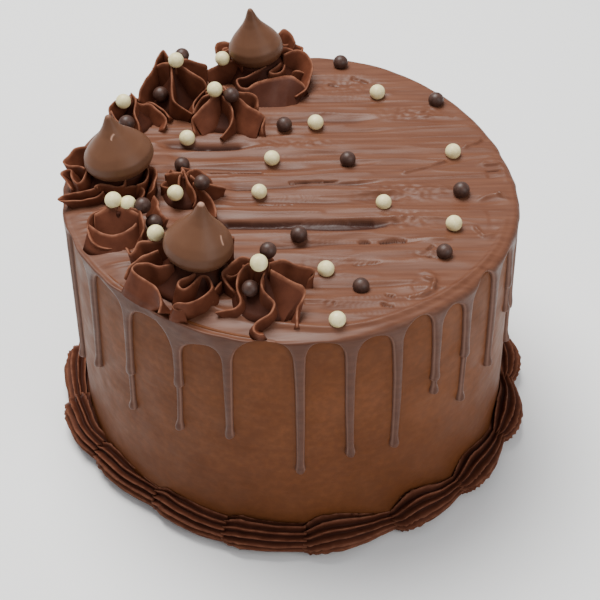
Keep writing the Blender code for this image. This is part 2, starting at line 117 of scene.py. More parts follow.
# Thin raised lines that the spatula left: Y, first X, last X, height
RAISED_LINES = ((36.0, -10, 22, 0.35), (29.3, -34, 6, 0.45), (46.5, -4, 30, 0.25), (54.5, 2, 40, 0.25),
                (13.0, 20, 56, 0.3), (5.5, -24, 30, 0.3), (-3.5, 0, 56, 0.3), (-11.8, -8, 22, 0.35),
                (-15.5, -30, 12, 0.4), (-27.0, -14, 30, 0.3), (-31.7, 14, 54, 0.45),
                (-36.5, -4, 22, 0.25), (-40.8, 36, 50, 0.35), (-47.5, 0, 30, 0.25), (-52.0, 20, 42, 0.35),
                (-58.5, 12, 34, 0.25), (20.5, -40, -4, 0.4), (67.5, 6, 30, 0.25))
# Dark cracks in the top, their darkness partly painted shade (half width, depth, corners in order), and low
# curls where strokes were lifted
CRACKS = ((0.28, 1.2, ((-0.7, 1.7), (8, 2.4), (16, 2.3))), (0.45, 1.7, ((14.8, 61.4), (18.1, 60.4))),
          (0.4, 1.5, ((23.7, 65.1), (29.1, 62.6))), (0.45, 1.7, ((22.8, -31.2), (25.5, -31.3))),
          (0.5, 1.8, ((29.7, -31.7), (34, -31.0), (37.6, -31.2))), (0.4, 1.5, ((30.1, -58.6), (32.4, -59.2))),
          (0.4, 1.5, ((28.7, -63.2), (31.8, -64.2))), (0.45, 1.5, ((69.3, 6), (74.4, 6.7))),
          (0.4, 1.5, ((45, -36.6), (47, -34.4))), (0.4, 1.5, ((44.7, -40.3), (47.7, -40.8))),
          (1.1, 1.3, ((-33.5, 23.2), (-26, 22.7), (-19.5, 22.9))),
          (0.45, 1.6, ((-29.3, 7.5), (-20, 7.4), (-10.9, 7.0))),
          (0.5, 1.6, ((-24.1, -1.9), (-19, -2.3), (-13.3, -2.3))),
          (0.28, 1.4, ((-11.9, -10.5), (-6, -11.0), (0, -10.8))),
          (0.3, 1.0, ((20.2, -43), (28.8, -42.4))), (0.3, 1.0, ((3.7, -62.0), (13.3, -62.2))),
          (0.8, 1.1, ((-22, -20.0), (-6, -20.6), (10, -20.0), (27, -20.4))))
CURLS = (((62.2, -25.3), (64.2, -30.1), (69.8, -28.3), (74.7, -18.9), (75.9, -11.1), (71.9, -7.8)),
         ((75.7, 0.5), (75.8, 4.5), (74.9, 8.2)), ((62.7, 20.1), (66.5, 22), (69.6, 25.3)),
         ((68.7, 9.4), (72.5, 9.8), (76.2, 11.3)),
         ((37.5, -60), (45.2, -57.6), (46.2, -52.4), (43.4, -50.6)), ((39.9, 5.9), (47, 8.4), (54.3, 11.8)))
# Rough torn patches of the top: centre X and Y, half sizes
ROUGH_PATCHES = ((40, -5, 14, 4.5), (39, -21, 8, 4), (21, 60, 10, 4), (44, 42, 10, 3.5),
                 (30, -62, 3, 2), (44, -39, 4, 2), (2, 24, 14, 2), (6, -44, 12, 2.5))

# Pearls, as in the CAD, with their colours
PEARL_RADIUS = 2.85
PEARL_SINK = 1.0
CREAM_ON_CAP = ((-37.8, 26.6), (-7.0, 13.3), (9.0, 34.5), (-11.4, -5.7), (32.6, 53.6),
                (57.8, 15.7), (31.5, -12.8), (54.7, -24.8), (10.8, -47.3), (13.8, -71.8))
DARK_ON_CAP = ((-2.5, 33.3), (2.1, -29.5), (19.4, 73.5), (54.2, 47.7), (20.0, 12.0),
               (58.8, -6.7), (50.3, -39.6), (22.0, -54.8), (-39.0, 11.3))
CREAM_ON_ROSETTES = ((-25.6, 64.8), (-42.1, 53.0), (-27.6, 39.3), (-60.8, 36.1), (-40.1, -10.9),
                     (-60.3, -20.3), (-55.4, -20.6), (-10.8, -58.8), (-45.0, -38.2))
DARK_ON_ROSETTES = ((-40.3, 60.2), (-48.2, 47.6), (-21.5, 37.3), (-59.2, 27.0), (-30.8, -9.8),
                    (-50.4, -21.8), (-8.0, -49.2), (-13.7, -62.5), (-46.8, -24.1))

# Rosettes: centre X and Y, radius, height, and the sector hidden behind, with its number of fins
ROSETTES = {
    "rosette_back": (-10.5, 67.0, 17.5, 10.0, (15, 165, 5)),
    "rosette_back_tall": (-43.5, 52.5, 13.5, 16.0, (30, 150, 3)),
    "rosette_back_inner": (-23.5, 40.0, 13.5, 12.0, (60, 150, 2)),
    "rosette_back_small": (-58.5, 38.0, 10.5, 11.0, (60, 170, 3)),
    "rosette_left": (-62.5, 1.5, 17.0, 10.0, (40, 130, 4)),
    "rosette_inner": (-37.0, -5.5, 11.0, 9.5, (20, 150, 3)),
    "rosette_left_small": (-58.5, -24.0, 10.5, 9.5, (60, 150, 2)),
    "rosette_front": (-33.0, -49.0, 18.0, 10.0, (30, 150, 4)),
    "rosette_front_inner": (-9.0, -60.5, 15.0, 13.0, (95, 145, 1)),
}

# Piped ribbons that show, as X, Y and height above the top along the upper edge; where the foot
# doesn't lie under the edge, X and Y of the foot follow
RIBBONS = {
    "rosette_front": (
        ((-42, -39.5, 9), (-45.5, -40.5, 9), (-48.5, -40, 9), (-51, -40.5, 8.5), (-52, -43, 7.5),
         (-53.5, -44, 6.5), (-55, -40, 6)),
        ((-38.5, -51.5, 8.5, -38, -52), (-43.5, -52.5, 8.5, -42, -53), (-47, -50.5, 8.5, -46, -52),
         (-50, -51, 8.5, -50, -52), (-52, -52.5, 8, -54, -53.5), (-51, -54.5, 7.5, -53.5, -56),
         (-48, -57, 7, -52, -59), (-44.5, -59.5, 6.5, -50, -62.5), (-42.5, -63.5, 6, -47.5, -66),
         (-42, -66.5, 5, -45, -68), (-43, -69, 3, -43.5, -69.3)),
        ((-31, -54.5, 7.5, -31, -55), (-33.5, -56.5, 7.5, -33.5, -57), (-36, -58, 7.5, -36, -58.5),
         (-37, -59.5, 7, -37.3, -60), (-35.5, -61.5, 6.5, -35.5, -62), (-33, -60, 6.5, -33, -60.5),
         (-31, -57, 6.5, -31, -57.5), (-29, -55, 6.5, -29, -55.5), (-27, -56.5, 6.5, -26.5, -57),
         (-26.2, -61.5, 6.5, -25.5, -60), (-29.4, -66, 6.5, -28.5, -62.8), (-33.4, -67.5, 6, -33, -64.5),
         (-36.8, -67, 5.5, -37, -65), (-38.5, -67, 4, -38.5, -66), (-37.5, -67.6, 3, -37.5, -67.2),
         (-35, -66.4, 2, -35, -66.4)),
        ((-23, -56.5, 5), (-24.5, -59, 5), (-26, -60.5, 4), (-27, -62.5, 3), (-25.5, -63, 2)),
        ((-44, -44, 8), (-48, -45.5, 7.5), (-50.5, -47, 7), (-54, -49.5, 5), (-55, -52, 3)),
        ((-20, -50, 8), (-17, -52, 7), (-17.5, -54, 6), (-20.5, -55, 6), (-22.5, -53, 7)),
    ),
    "rosette_front_inner": (
        ((-12.5, -57, 12.5), (-14.5, -55.5, 12), (-17, -57, 10), (-18, -59.5, 8.5), (-18, -62, 7.5),
         (-17, -65, 6), (-17, -66.5, 4.5), (-19, -68, 3.5), (-22, -67.5, 2.5), (-25, -67.5, 1.5)),
        ((-12, -54, 12), (-17, -51.5, 11), (-21.5, -53.5, 8.5), (-23, -54.5, 7), (-21.5, -57, 5),
         (-19.5, -59, 3)),
        ((-9, -60, 12), (-10, -63, 10.5), (-9.5, -66, 9.5), (-8, -67, 8), (-6, -69, 6.5),
         (-7.5, -72, 5), (-10.5, -73.5, 4), (-12.5, -75.5, 3), (-12.5, -77, 2), (-11, -78, 1.5),
         (-9.5, -77.5, 1)),
        ((-7, -59, 12, -8, -63), (-2.5, -61, 10.5, -6, -67), (0.5, -62, 9, -5, -69.5),
         (3, -62.5, 8, -3.5, -71), (4, -64, 7, -2, -72), (3, -66, 5.5, -0.5, -72.5),
         (1.5, -67, 4, 0, -73), (1, -69.5, 2.5, 0.5, -73), (1, -74, 1, 1, -74)),
        ((-7.5, -56, 12.5), (-2.5, -53, 11), (0, -53.5, 9.5), (2.5, -53, 8), (6, -52, 6.5),
         (7, -52.5, 5), (5, -54, 3)),
        ((-9.5, -58, 12), (-9, -53, 11), (-8, -49.5, 9.5), (-6.5, -47, 6), (-7, -45, 2)),
    ),
    "rosette_left": (
        ((-69, 11, 8.5), (-73, 13.5, 8), (-76.5, 13, 7.5), (-78.5, 10, 7), (-80.5, 6.5, 6.5),
         (-78, 5, 6), (-75, 4, 6.5), (-72, 1, 8)),
        ((-71, 1, 8), (-71.5, -2.5, 8), (-72.5, -5, 7), (-74, -6, 6.5), (-76, -3.5, 6.5),
         (-77, -0.5, 6.5), (-77, 2, 6.5), (-79.5, 2.5, 6), (-81, 1, 5.5), (-79, -1, 4), (-77, -4.5, 3)),
        ((-67, -8, 6.5), (-71.5, -9, 5.5), (-76.5, -9, 4.5), (-79.5, -9.5, 4), (-81, -11, 3.5),
         (-78.5, -11, 3), (-74, -11, 3), (-70, -11, 3.5), (-67, -10, 4), (-65, -8.5, 5)),
        ((-68, -8.5, 7), (-66.5, -7, 7), (-63.5, -7.5, 7), (-60.5, -8.5, 7), (-58, -8.5, 7.5),
         (-57.5, -6, 8)),
        ((-50, 0.5, 9), (-49.5, -3.5, 8.5), (-50.5, -7, 8), (-53.5, -8, 7)),
        ((-49.5, 0, 9), (-47.5, -1, 9), (-46.5, -3.5, 8.5), (-47, -7, 8), (-47.5, -10, 7),
         (-49.5, -10, 5)),
        ((-58, -8, 5.5), (-55.5, -7, 6), (-52.5, -7.5, 6), (-51, -9, 5.5), (-51.5, -11, 4.5),
         (-54, -12, 3)),
    ),
    "rosette_left_small": (
        ((-58.5, -22, 9.5), (-61.5, -21.5, 8.5), (-65, -22, 7.5), (-68, -23.5, 6.5), (-69, -26, 5),
         (-68.5, -29.5, 4), (-67, -33, 2.5), (-64, -34.5, 1.5), (-60.5, -34.5, 1), (-57.5, -31.5, 1)),
        ((-66.5, -23.5, 7, -67, -28), (-63, -22.3, 8.3, -63.5, -29.5), (-59, -22.3, 9, -59, -30),
         (-55, -23, 9, -55, -29.5), (-51.5, -25, 8, -51, -29)),
        ((-68.3, -27, 5.4, -69, -30), (-65.5, -29.4, 4.7, -66.5, -33), (-61.5, -30.8, 4, -62, -35),
         (-57.5, -30.4, 4.2, -57, -34.8), (-54, -28.4, 4.9, -53, -32), (-52.4, -26.6, 5.4, -51.5, -29)),
        ((-54.5, -23, 9.5), (-51.5, -24, 9), (-50.5, -26, 8.5), (-49.5, -29.5, 7.5), (-49.5, -31, 6),
         (-50.5, -32.5, 4), (-50, -33, 2)),
        ((-47, -14, 7), (-45.5, -16.5, 6), (-45.5, -18.5, 6), (-44, -21.5, 5), (-42, -23.5, 4)),
    ),
    "rosette_inner": (
        ((-37.5, -2.5, 9.5), (-36, -7, 8.5), (-35, -9, 7.5), (-33.5, -11, 6), (-33, -13.5, 4),
         (-34, -14, 2)),
        ((-37.5, -2.5, 9.5), (-39, -6, 8), (-39, -8.5, 6), (-40.5, -8.5, 3)),
        ((-40.5, -0.5, 6), (-42.5, 2, 6), (-43.5, 0, 5), (-42, -2, 5), (-41, -3, 5), (-44, -2.5, 4.5),
         (-45.5, -4.5, 4), (-43, -4.5, 3)),
        ((-35, -5.5, 9), (-32, -7.5, 8), (-28, -7.5, 6.5), (-25, -7, 5), (-23, -5.5, 3)),
        ((-34, -8, 8), (-30, -12, 7), (-28.5, -13, 6), (-27, -15, 4.5), (-26, -17.5, 3), (-26, -20, 2)),
    ),
    "rosette_back_tall": (
        ((-45, 58, 15.5), (-47.3, 61.5, 16.6), (-48.8, 60, 15.6), (-50, 57.5, 14.5), (-51.5, 53, 12.7),
         (-53.8, 50, 11), (-56, 47.5, 8), (-56.5, 45, 5)),
        ((-44, 53, 15.5), (-43.5, 46.5, 13.5), (-43.5, 42.5, 11), (-42.5, 40, 8), (-39, 39, 5.5),
         (-36, 37.5, 4)),
        ((-42, 54.5, 15.5), (-36.5, 51, 13.5), (-32.5, 49.5, 11.5), (-31, 48, 8.5), (-34, 46, 6),
         (-36, 42.5, 4.5), (-35.5, 39, 3)),
        ((-41, 57, 15), (-38, 57.5, 15), (-35, 57, 14), (-31, 57.5, 12), (-32.5, 58, 9)),
        ((-56, 42, 4), (-53, 43, 6), (-50, 41.5, 6), (-46.5, 39, 4.5), (-44.5, 37, 3)),
    ),
    "rosette_back_inner": (
        ((-25.5, 40.5, 12, -25, 38), (-28, 39, 11.5, -26.5, 35.5), (-30, 37, 10.5, -28, 33),
         (-33, 34.5, 8.5, -31, 31), (-36, 32, 6, -33.5, 29.5), (-35.5, 30.5, 4, -34, 29),
         (-35, 29, 2, -34.5, 28.5)),
        ((-25, 38, 12), (-22, 35, 10), (-21, 31.5, 8), (-22, 28.5, 5.5), (-24.5, 26.5, 3),
         (-25.5, 25.5, 2)),
        ((-21.5, 39.5, 11.5, -21.5, 36), (-18.5, 37.5, 11, -20, 32.5), (-15.5, 35, 9.5, -17.5, 30),
         (-12, 33.5, 8, -14.5, 28.5), (-9.5, 32.5, 6, -11.5, 28), (-10.5, 30, 4, -11, 28),
         (-10.5, 28.5, 2, -10.5, 28)),
        ((-20.5, 41, 11.5), (-17, 41, 11), (-14, 42, 10), (-12, 41, 8.5), (-12, 38.5, 6)),
        ((-26, 42, 11), (-31, 42, 9.5), (-34, 41, 7), (-36, 38, 4)),
    ),
    "rosette_back_small": (
        ((-62, 39, 11), (-65, 36, 10.5), (-66, 33.5, 9.5), (-65.5, 31.5, 8)),
        ((-58.5, 42.5, 10.5), (-57, 40.5, 10), (-56.5, 38, 9.5), (-57, 34.5, 8), (-55.5, 30.5, 6),
         (-55, 28, 3.5)),
        ((-65, 32, 10), (-63, 28.5, 8.5), (-61, 27.5, 7.5), (-59, 31, 5)),
        ((-57, 41, 8), (-55.5, 40.5, 7), (-51.5, 41, 6.5), (-48.5, 38, 5.5), (-45.5, 35, 4),
         (-46.5, 31.5, 2)),
    ),
    "rosette_back": (
        ((-28.5, 74, 7), (-28.5, 76, 9), (-27, 78, 9), (-25, 78.5, 9), (-22, 77, 9)),
        ((-18, 62, 9), (-21, 65.5, 9), (-26, 64.5, 8), (-30, 63, 7), (-33.5, 61, 6)),
        ((-9, 62.5, 8, -9, 63), (-13, 59, 8, -13, 59.5), (-17, 56, 7.5, -17, 57), (-20, 55.5, 7, -19, 56),
         (-19, 52.5, 6, -18.5, 50), (-16.5, 51, 6, -16, 47.5), (-14, 53.5, 6, -13.5, 46.5),
         (-10, 56, 6, -10, 45.8), (-5, 58, 6, -6, 45.5), (-0.5, 59, 6, -1.5, 46), (2.4, 57.4, 5.5, 2.5, 48),
         (4.6, 55.8, 4.6, 4.6, 50.5), (5.6, 54, 3.6, 5.6, 52.5)),
        ((-3.5, 64.5, 8), (-6.5, 61, 8), (-8, 59.5, 7.5), (-5.5, 59, 7), (-3, 61, 7), (-2, 64, 7.5)),
        ((-2.5, 69, 9), (0.5, 71, 9), (4, 71.5, 9), (7, 68.5, 8.5), (8.5, 63.5, 7), (7.5, 58, 5),
         (5.5, 53, 3.5), (2, 50, 2.5)),
        ((-4.8, 78.5, 11.5), (-2.4, 80.4, 13), (0.5, 77.3, 12.8), (2.2, 73.6, 11.4)),
        ((0.5, 66.4, 2), (1.6, 65.6, 3.5), (3.4, 65.2, 3.8), (5.4, 65, 3), (7.2, 65.4, 1.2)),
    ),
}
# Where no foot is given, it lies this share of the edge's distance from the rosette's centre
FOOT_PULL = 0.82
RIBBON_THICKNESS = 0.95
RIBBON_STEP = 0.5
# One side of a ribbon's section: share of its height, and share of its half thickness
RIBBON_PROFILE = ((0.0, 5.6), (0.3, 3.7), (0.55, 2.3), (0.75, 1.5), (0.9, 1.0), (0.97, 0.66), (1.0, 0.0))
# Fins behind: share of the reach outwards, share of the bend sideways, share of the height
FIN_CURVE = ((0.12, 0, 1.0), (0.4, 0.5, 0.9), (0.7, 1.0, 0.72), (0.9, 0.2, 0.5), (1.0, -0.8, 0.3),
             (0.95, -1.1, 0.08))
# Ruffles behind a drop: how near to it they come, and how far from the cake's middle
RUFFLE_INNER = 9.5
RUFFLE_LIMIT = 80.5
BASE_LEVEL = TOP_HEIGHT - 2.0
CORE_STEP = 0.8
CORE_HOLLOW = 2.0
# Painted shade over the rosettes' solid middles
CORE_SHADE = 0.72
# Painted shade: how dark the broad leaning faces are drawn, by rosette
LEANING_SHADE = {"rosette_back": 0.7, "rosette_front_inner": 0.4, "rosette_left_small": 0.3}
FOOT_LIMIT = 75.5

# Drops: the rosette under it, base centre X and Y, lean along X in degrees, share of the width and
# of the height
DROPS = {
    "chocolate_drop_back": ("rosette_back", -12.5, 69.0, 6, 0.92, 0.98),
    "chocolate_drop_left": ("rosette_left", -59.4, 2.4, 8.0, 1.09, 0.98),
    "chocolate_drop_front": ("rosette_front", -31.0, -46.4, -6, 1.03, 1.0),
}
DROP_PROFILE = ((0.0, 21.8), (0.9, 21.5), (1.7, 19.6), (2.6, 17.4), (4.2, 14.8), (6.6, 12.0),
                (9.0, 9.2), (10.8, 6.4), (11.3, 3.6), (10.2, 1.2), (8.6, 0.0), (0.0, 0.0))
DROP_SEAT = 7.6
# Pale nicks on the drops: direction round the drop, height, half length, half width, slant
SCUFFS = {
    "chocolate_drop_left": ((276, 15.4, 1.0, 0.25, 50),),
    "chocolate_drop_front": ((329, 10.2, 1.3, 0.26, 62),),
}
PALE_TIP = "chocolate_drop_front"

# The shell border
SHELL_CENTRE = 82.2
# Angles where the shells that show start; the others are spread evenly behind
SHELL_STARTS = (206.2, 228.5, 249.5, 269.7, 293.9, 314.2, 335.0, 356.0)
HIDDEN_SHELLS = 10
SHELL_RIDGES = 14
# By angle: sizes of the shells' heads and tails, and how far further in the border sits
SHELL_HEADS = ((0, 7.6), (180, 7.1), (200, 7.0), (265, 6.9), (280, 7.8), (360, 7.6))
SHELL_TAILS = ((0, 4.6), (180, 5.4), (200, 6.0), (265, 6.0), (280, 4.4), (360, 4.6))
BORDER_PULL = ((0, 1.8), (20, 0.0), (189, 0.0), (204, 0.5), (211, 3.2), (233, 5.7), (249, 2.9),
               (262, 2.6), (273, 1.9), (291, 3.6), (310, 2.1), (330, 1.3), (341, 0.8), (360, 1.8))

# Floor and surround, and for each light its place, width, power and colour
FLOOR_COLOUR = (0.97, 0.98, 0.98, 1)
SKY_COLOUR = (0.93, 0.96, 1.0, 1)
SKY_STRENGTH = 0.5
LIGHTS = {
    "key": ((-0.25, 0.35, 1.2), 0.8, 26, (1.0, 0.98, 0.95)),
    "fill": ((0.8, -0.7, 0.7), 0.8, 5.2, (1.0, 0.98, 0.96)),
}
LIGHT_AIM = Vector((0, 0, 0.06))

# The camera, from the photograph
CAMERA_ELEVATION = 41.905
CAMERA_DISTANCE = 587.2
CAMERA_TARGET_HEIGHT = 49.0
CAMERA_ROLL = -0.806
FOCAL_PIXELS = 1575.8
PHOTO_SIZE = 600
PHOTO_CENTRE = (293.4, 292.5)
SENSOR = 36.0


def smooth(value):
    value = np.clip(value, 0.0, 1.0)
    return value * value * (3 - 2 * value)


def smooth_max(a, b, width):
    mix = np.maximum(width - np.abs(a - b), 0.0) / width
    return np.maximum(a, b) + mix * mix * width / 4


def noise_at(points, scale, seed):
    """Smooth noise from about -1 to 1 at each point; scale is a size in mm, or three."""
    steps = np.broadcast_to(np.asarray(scale, float), (3,))
    shifted = np.asarray(points) / steps + 17.3 * seed
    return np.array([noise.noise(Vector(point)) for point in shifted])


def side_radius(degrees, height):
    angle = np.radians(degrees)
    uneven = 0.0
    for waves, along, across in RIM_WAVES:
        uneven = uneven + along * np.cos(waves * angle) + across * np.sin(waves * angle)
    share = np.clip((height - ROUND_FOOT) / (TOP_HEIGHT - ROUND_FOOT), 0.0, 1.0)
    return CAKE_RADIUS * (1 + uneven * share) - SIDE_TRIM * smooth((height - 2) / 12)


def on_circle(degrees, radius, height):
    angle = np.radians(degrees)
    return np.stack(np.broadcast_arrays(radius * np.cos(angle), radius * np.sin(angle), height), -1)


def groove_depth(x, y):
    depth = 0.0
    for place, start, stop, deep, half_width in GROOVES:
        drift = 1.1 * np.sin(x / 19 + place) + 0.35 * np.sin(x / 5.5 + 2 * place)
        along = smooth((x - start) / GROOVE_FADE) * smooth((stop - x) / (2 * GROOVE_FADE))
        across = (y - place - drift) / (half_width * (0.45 + 0.55 * along))
        depth = depth + deep * np.exp(-across * across) * along
    wave = 0.5 + 0.5 * np.sin(y / 1.9 + 0.8 * np.sin(x / 23))
    return depth + 0.2 * wave


def top_height(x, y):
    rim = FLAT_REACH - np.hypot(x, y)
    return TOP_HEIGHT - groove_depth(x, y) * (0.25 + 0.75 * smooth(rim / 9))


def face_outwards(mesh, weld=False):
    work = bmesh.new()
    work.from_mesh(mesh)
    if weld:
        bmesh.ops.remove_doubles(work, verts=work.verts[:], dist=WELD_DISTANCE)
    bmesh.ops.recalc_face_normals(work, faces=work.faces)
    work.to_mesh(mesh)
    work.free()


def add_object(name, mesh, surface):
    mesh.shade_smooth()
    mesh.materials.append(surface)
    thing = bpy.data.objects.new(name, mesh)
    bpy.context.scene.collection.objects.link(thing)
    return thing


def new_mesh(name, points, faces, surface, marks=None):
    """A smooth-shaded object from points in mm; marks are named values for each point."""
    mesh = bpy.data.meshes.new(name)
    mesh.from_pydata((np.asarray(points) * MM).tolist(), [], faces)
    face_outwards(mesh)
    for key, values in (marks or {}).items():
        layer = mesh.attributes.new(key, "FLOAT", "POINT")
        layer.data.foreach_set("value", np.asarray(values, np.float32))
    return add_object(name, mesh, surface)


def grid_faces(rows, columns, start=0):
    """Quads between rows of points, each of which closes on itself."""
    faces = []
    for row in range(rows - 1):
        low = start + row * columns
        high = low + columns
        for k in range(columns):
            nxt = (k + 1) % columns
            faces.append((low + k, low + nxt, high + nxt, high + k))
    return faces


def tube_faces(rows, columns, start=0):
    """The same quads, with a face across the first row and one across the last."""
    last = start + (rows - 1) * columns
    ends = [tuple(range(first, first + columns)) for first in (start, last)]
    return grid_faces(rows, columns, start) + ends


def finish_piece(thing, slot, *nodes):
    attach(thing, "root")
    if nodes:
        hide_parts(*nodes)
    return thing


# Materials

class Shader:
    """A Principled material whose nodes are added one by one."""

    def __init__(self, name, roughness, specular):
        self.made = bpy.data.materials.new(name)
        self.made.use_nodes = True
        self.tree = self.made.node_tree
        self.shader = self.tree.nodes["Principled BSDF"]
        self.shader.inputs["Roughness"].default_value = roughness
        self.shader.inputs["Specular IOR Level"].default_value = specular
        self.place = self.tree.nodes.new("ShaderNodeTexCoord").outputs["Object"]

    def link(self, output, target):
        self.tree.links.new(output, target)

    def noise(self, size, detail=3.0, stretch=(1, 1, 1)):
        """Noise with features of about size millimetres; a share below 1 draws them out along an axis."""
        mapping = self.tree.nodes.new("ShaderNodeMapping")
        mapping.inputs["Scale"].default_value = [part / (MM * size) for part in stretch]
        self.link(self.place, mapping.inputs["Vector"])
        made = self.tree.nodes.new("ShaderNodeTexNoise")
        made.inputs["Scale"].default_value = 1.0
        made.inputs["Detail"].default_value = detail
        self.link(mapping.outputs["Vector"], made.inputs["Vector"])
        return made.outputs["Fac"]

    def mark(self, name):
        made = self.tree.nodes.new("ShaderNodeAttribute")
        made.attribute_name = name
        return made.outputs["Fac"]

    def ramp(self, value, low, high, start=0.35, stop=0.65):
        """A colour between low and high as value goes from start to stop."""
        made = self.tree.nodes.new("ShaderNodeValToRGB")
        made.color_ramp.elements[0].position = start
        made.color_ramp.elements[0].color = (*low, 1)
        made.color_ramp.elements[1].position = stop
        made.color_ramp.elements[1].color = (*high, 1)
        self.link(value, made.inputs["Fac"])
        return made.outputs["Color"]

    def mix(self, factor, low, high, kind="MIX"):
        made = self.tree.nodes.new("ShaderNodeMix")
        made.data_type = "RGBA"
        made.blend_type = kind
        if isinstance(factor, float):
            made.inputs["Factor"].default_value = factor
        else:
            self.link(factor, made.inputs["Factor"])
        for value, socket in ((low, made.inputs["A"]), (high, made.inputs["B"])):
            if isinstance(value, tuple):
                socket.default_value = (*value, 1)
            else:
                self.link(value, socket)
        return made.outputs["Result"]

    def spread(self, value, low, high):
        made = self.tree.nodes.new("ShaderNodeMapRange")
        made.inputs["From Min"].default_value = 0.3
        made.inputs["From Max"].default_value = 0.7
        made.inputs["To Min"].default_value = low
        made.inputs["To Max"].default_value = high
        self.link(value, made.inputs["Value"])
        return made.outputs["Result"]

    def bump(self, *layers):
        """Bump from pairs of a height output and its depth in mm."""
        normal = None
        for value, depth in layers:
            made = self.tree.nodes.new("ShaderNodeBump")
            made.inputs["Distance"].default_value = depth * MM
            self.link(value, made.inputs["Height"])
            if normal:
                self.link(normal, made.inputs["Normal"])
            normal = made.outputs["Normal"]
        self.link(normal, self.shader.inputs["Normal"])

    def set(self, socket, output):
        self.link(output, self.shader.inputs[socket])


def frosting_material():
    """Smoothed frosting on the side: faint blotches and level scraper marks."""
    made = Shader("frosting", 0.58, specular=0.10)
    blotch = made.ramp(made.noise(22, 4), (0.122, 0.039, 0.0125), (0.150, 0.0505, 0.0175))
    flecks = made.ramp(made.noise(2.6, 5), (0.9, 0.9, 0.9), (1.12, 1.1, 1.08), 0.4, 0.7)
    colour = made.mix(1.0, blotch, flecks, "MULTIPLY")
    # Painted shade: the side's colour darkens towards its foot
    made.set("Base Color", made.mix(made.mark("deep"), colour, (0.075, 0.0225, 0.0075)))
    made.set("Roughness", made.spread(made.noise(9, 3), 0.42, 0.58))
    made.bump((made.noise(1.4, 3, (0.25, 0.25, 1)), 0.05), (made.noise(0.5, 2), 0.02))
    return made.made


def ganache_material():
    """Ganache, glossier than the frosting, streaked along the strokes, with painted shade in the grooves and
    on the side and a painted highlight along its edge.
    """
    made = Shader("ganache", 0.45, specular=0.22)
    streaks = made.noise(1.6, 4, (0.07, 1, 1))
    colour = made.ramp(streaks, (0.112, 0.041, 0.0215), (0.145, 0.057, 0.031))
    # Painted shade in the grooves of the top and over the side
    colour = made.mix(made.mark("deep"), colour, (0.035, 0.011, 0.007))
    # A painted highlight along the ganache's edge
    colour = made.mix(made.mark("edge"), colour, (0.34, 0.19, 0.14))
    made.set("Base Color", colour)
    made.set("Roughness", made.spread(made.noise(6, 4, (0.2, 1, 1)), 0.36, 0.55))
    made.bump((streaks, 0.10), (made.noise(0.6, 3, (0.12, 1, 1)), 0.03))
    return made.made


def buttercream_material(name):
    """Piped buttercream, with painted shade in its folds and low down, and painted highlights along its edges
    and ridges.
    """
    made = Shader(name, 0.6, specular=0.05)
    body = made.ramp(made.noise(5, 4), (0.100, 0.031, 0.0165), (0.140, 0.045, 0.024))
    edge = made.ramp(made.noise(2.5, 3), (0.14, 0.052, 0.029), (0.27, 0.112, 0.064))
    # The edge mark paints highlights along edges and ridges, the deep mark paints shade
    colour = made.mix(made.mark("edge"), body, edge)
    made.set("Base Color", made.mix(made.mark("deep"), colour, (0.022, 0.007, 0.005)))
    made.set("Roughness", made.spread(made.noise(3, 3), 0.42, 0.55))
    made.bump((made.noise(0.9, 3, (1, 1, 0.33)), 0.05))
    return made.made


def drop_material():
    """Moulded milk chocolate with a satin skin, a little bloom and pale scuffs."""
    made = Shader("milk_chocolate", 0.45, specular=0.25)
    body = made.ramp(made.noise(9, 3), (0.112, 0.047, 0.0235), (0.131, 0.057, 0.029))
    made.set("Base Color", made.mix(made.mark("scuff"), body, (0.48, 0.28, 0.20)))
    made.set("Roughness", made.spread(made.noise(4, 3), 0.4, 0.5))
    made.bump((made.noise(1.2, 3), 0.02))
    return made.made


def pearl_material(name, low, high, roughness):
    made = Shader(name, roughness, specular=0.35)
    made.set("Base Color", made.ramp(made.noise(1.5, 2), low, high))
    made.set("Roughness", made.spread(made.noise(1.0, 2), roughness - 0.06, roughness + 0.06))
    made.bump((made.noise(0.5, 2), 0.02))
    return made.made


# The frosted side

def make_side(surface):
    """The frosting up to under the ganache, with faint waves and scraper lines."""
    turns = np.linspace(0, math.pi / 2, 8)[1:]
    inner = EDGE_RADIUS - UNDER
    levels = [(height, 0.0) for height in np.linspace(0, SIDE_HEIGHT, SIDE_ROWS)]
    for turn in turns:
        levels.append((SIDE_HEIGHT + inner * math.sin(turn) - 0.2, inner * (1 - math.cos(turn))))
    levels.append((TOP_HEIGHT - 4, EDGE_RADIUS + 4))
    degrees = np.tile(np.arange(SIDE_COLUMNS) * 360 / SIDE_COLUMNS, len(levels))
    height, inset = np.repeat(np.transpose(levels), SIDE_COLUMNS, axis=1)
    flat = on_circle(degrees, CAKE_RADIUS, height)
    radius = side_radius(degrees, height) - inset + 0.22 * noise_at(flat, 26, 1)
    radius += 0.07 * noise_at(flat, (30, 30, 1.8), 2) + 0.05 * noise_at(flat, 4, 3)
    radius -= UNDER * smooth((height - SIDE_HEIGHT + 4) / 4)
    height = height - by_angle(degrees, SHOULDER_DROP) * np.clip(inset / inner, 0, 1)
    points = on_circle(degrees, radius, height)
    faces = tube_faces(len(levels), SIDE_COLUMNS)
    # Painted shade, darker towards the foot of the side
    low = FOOT_SHADE * smooth(1 - height / FOOT_SHADE_TOP)
    thing = new_mesh("frosted_side", points, faces, surface, {"deep": low})
    return finish_piece(thing, "frosting", "cake_body")


# The ganache

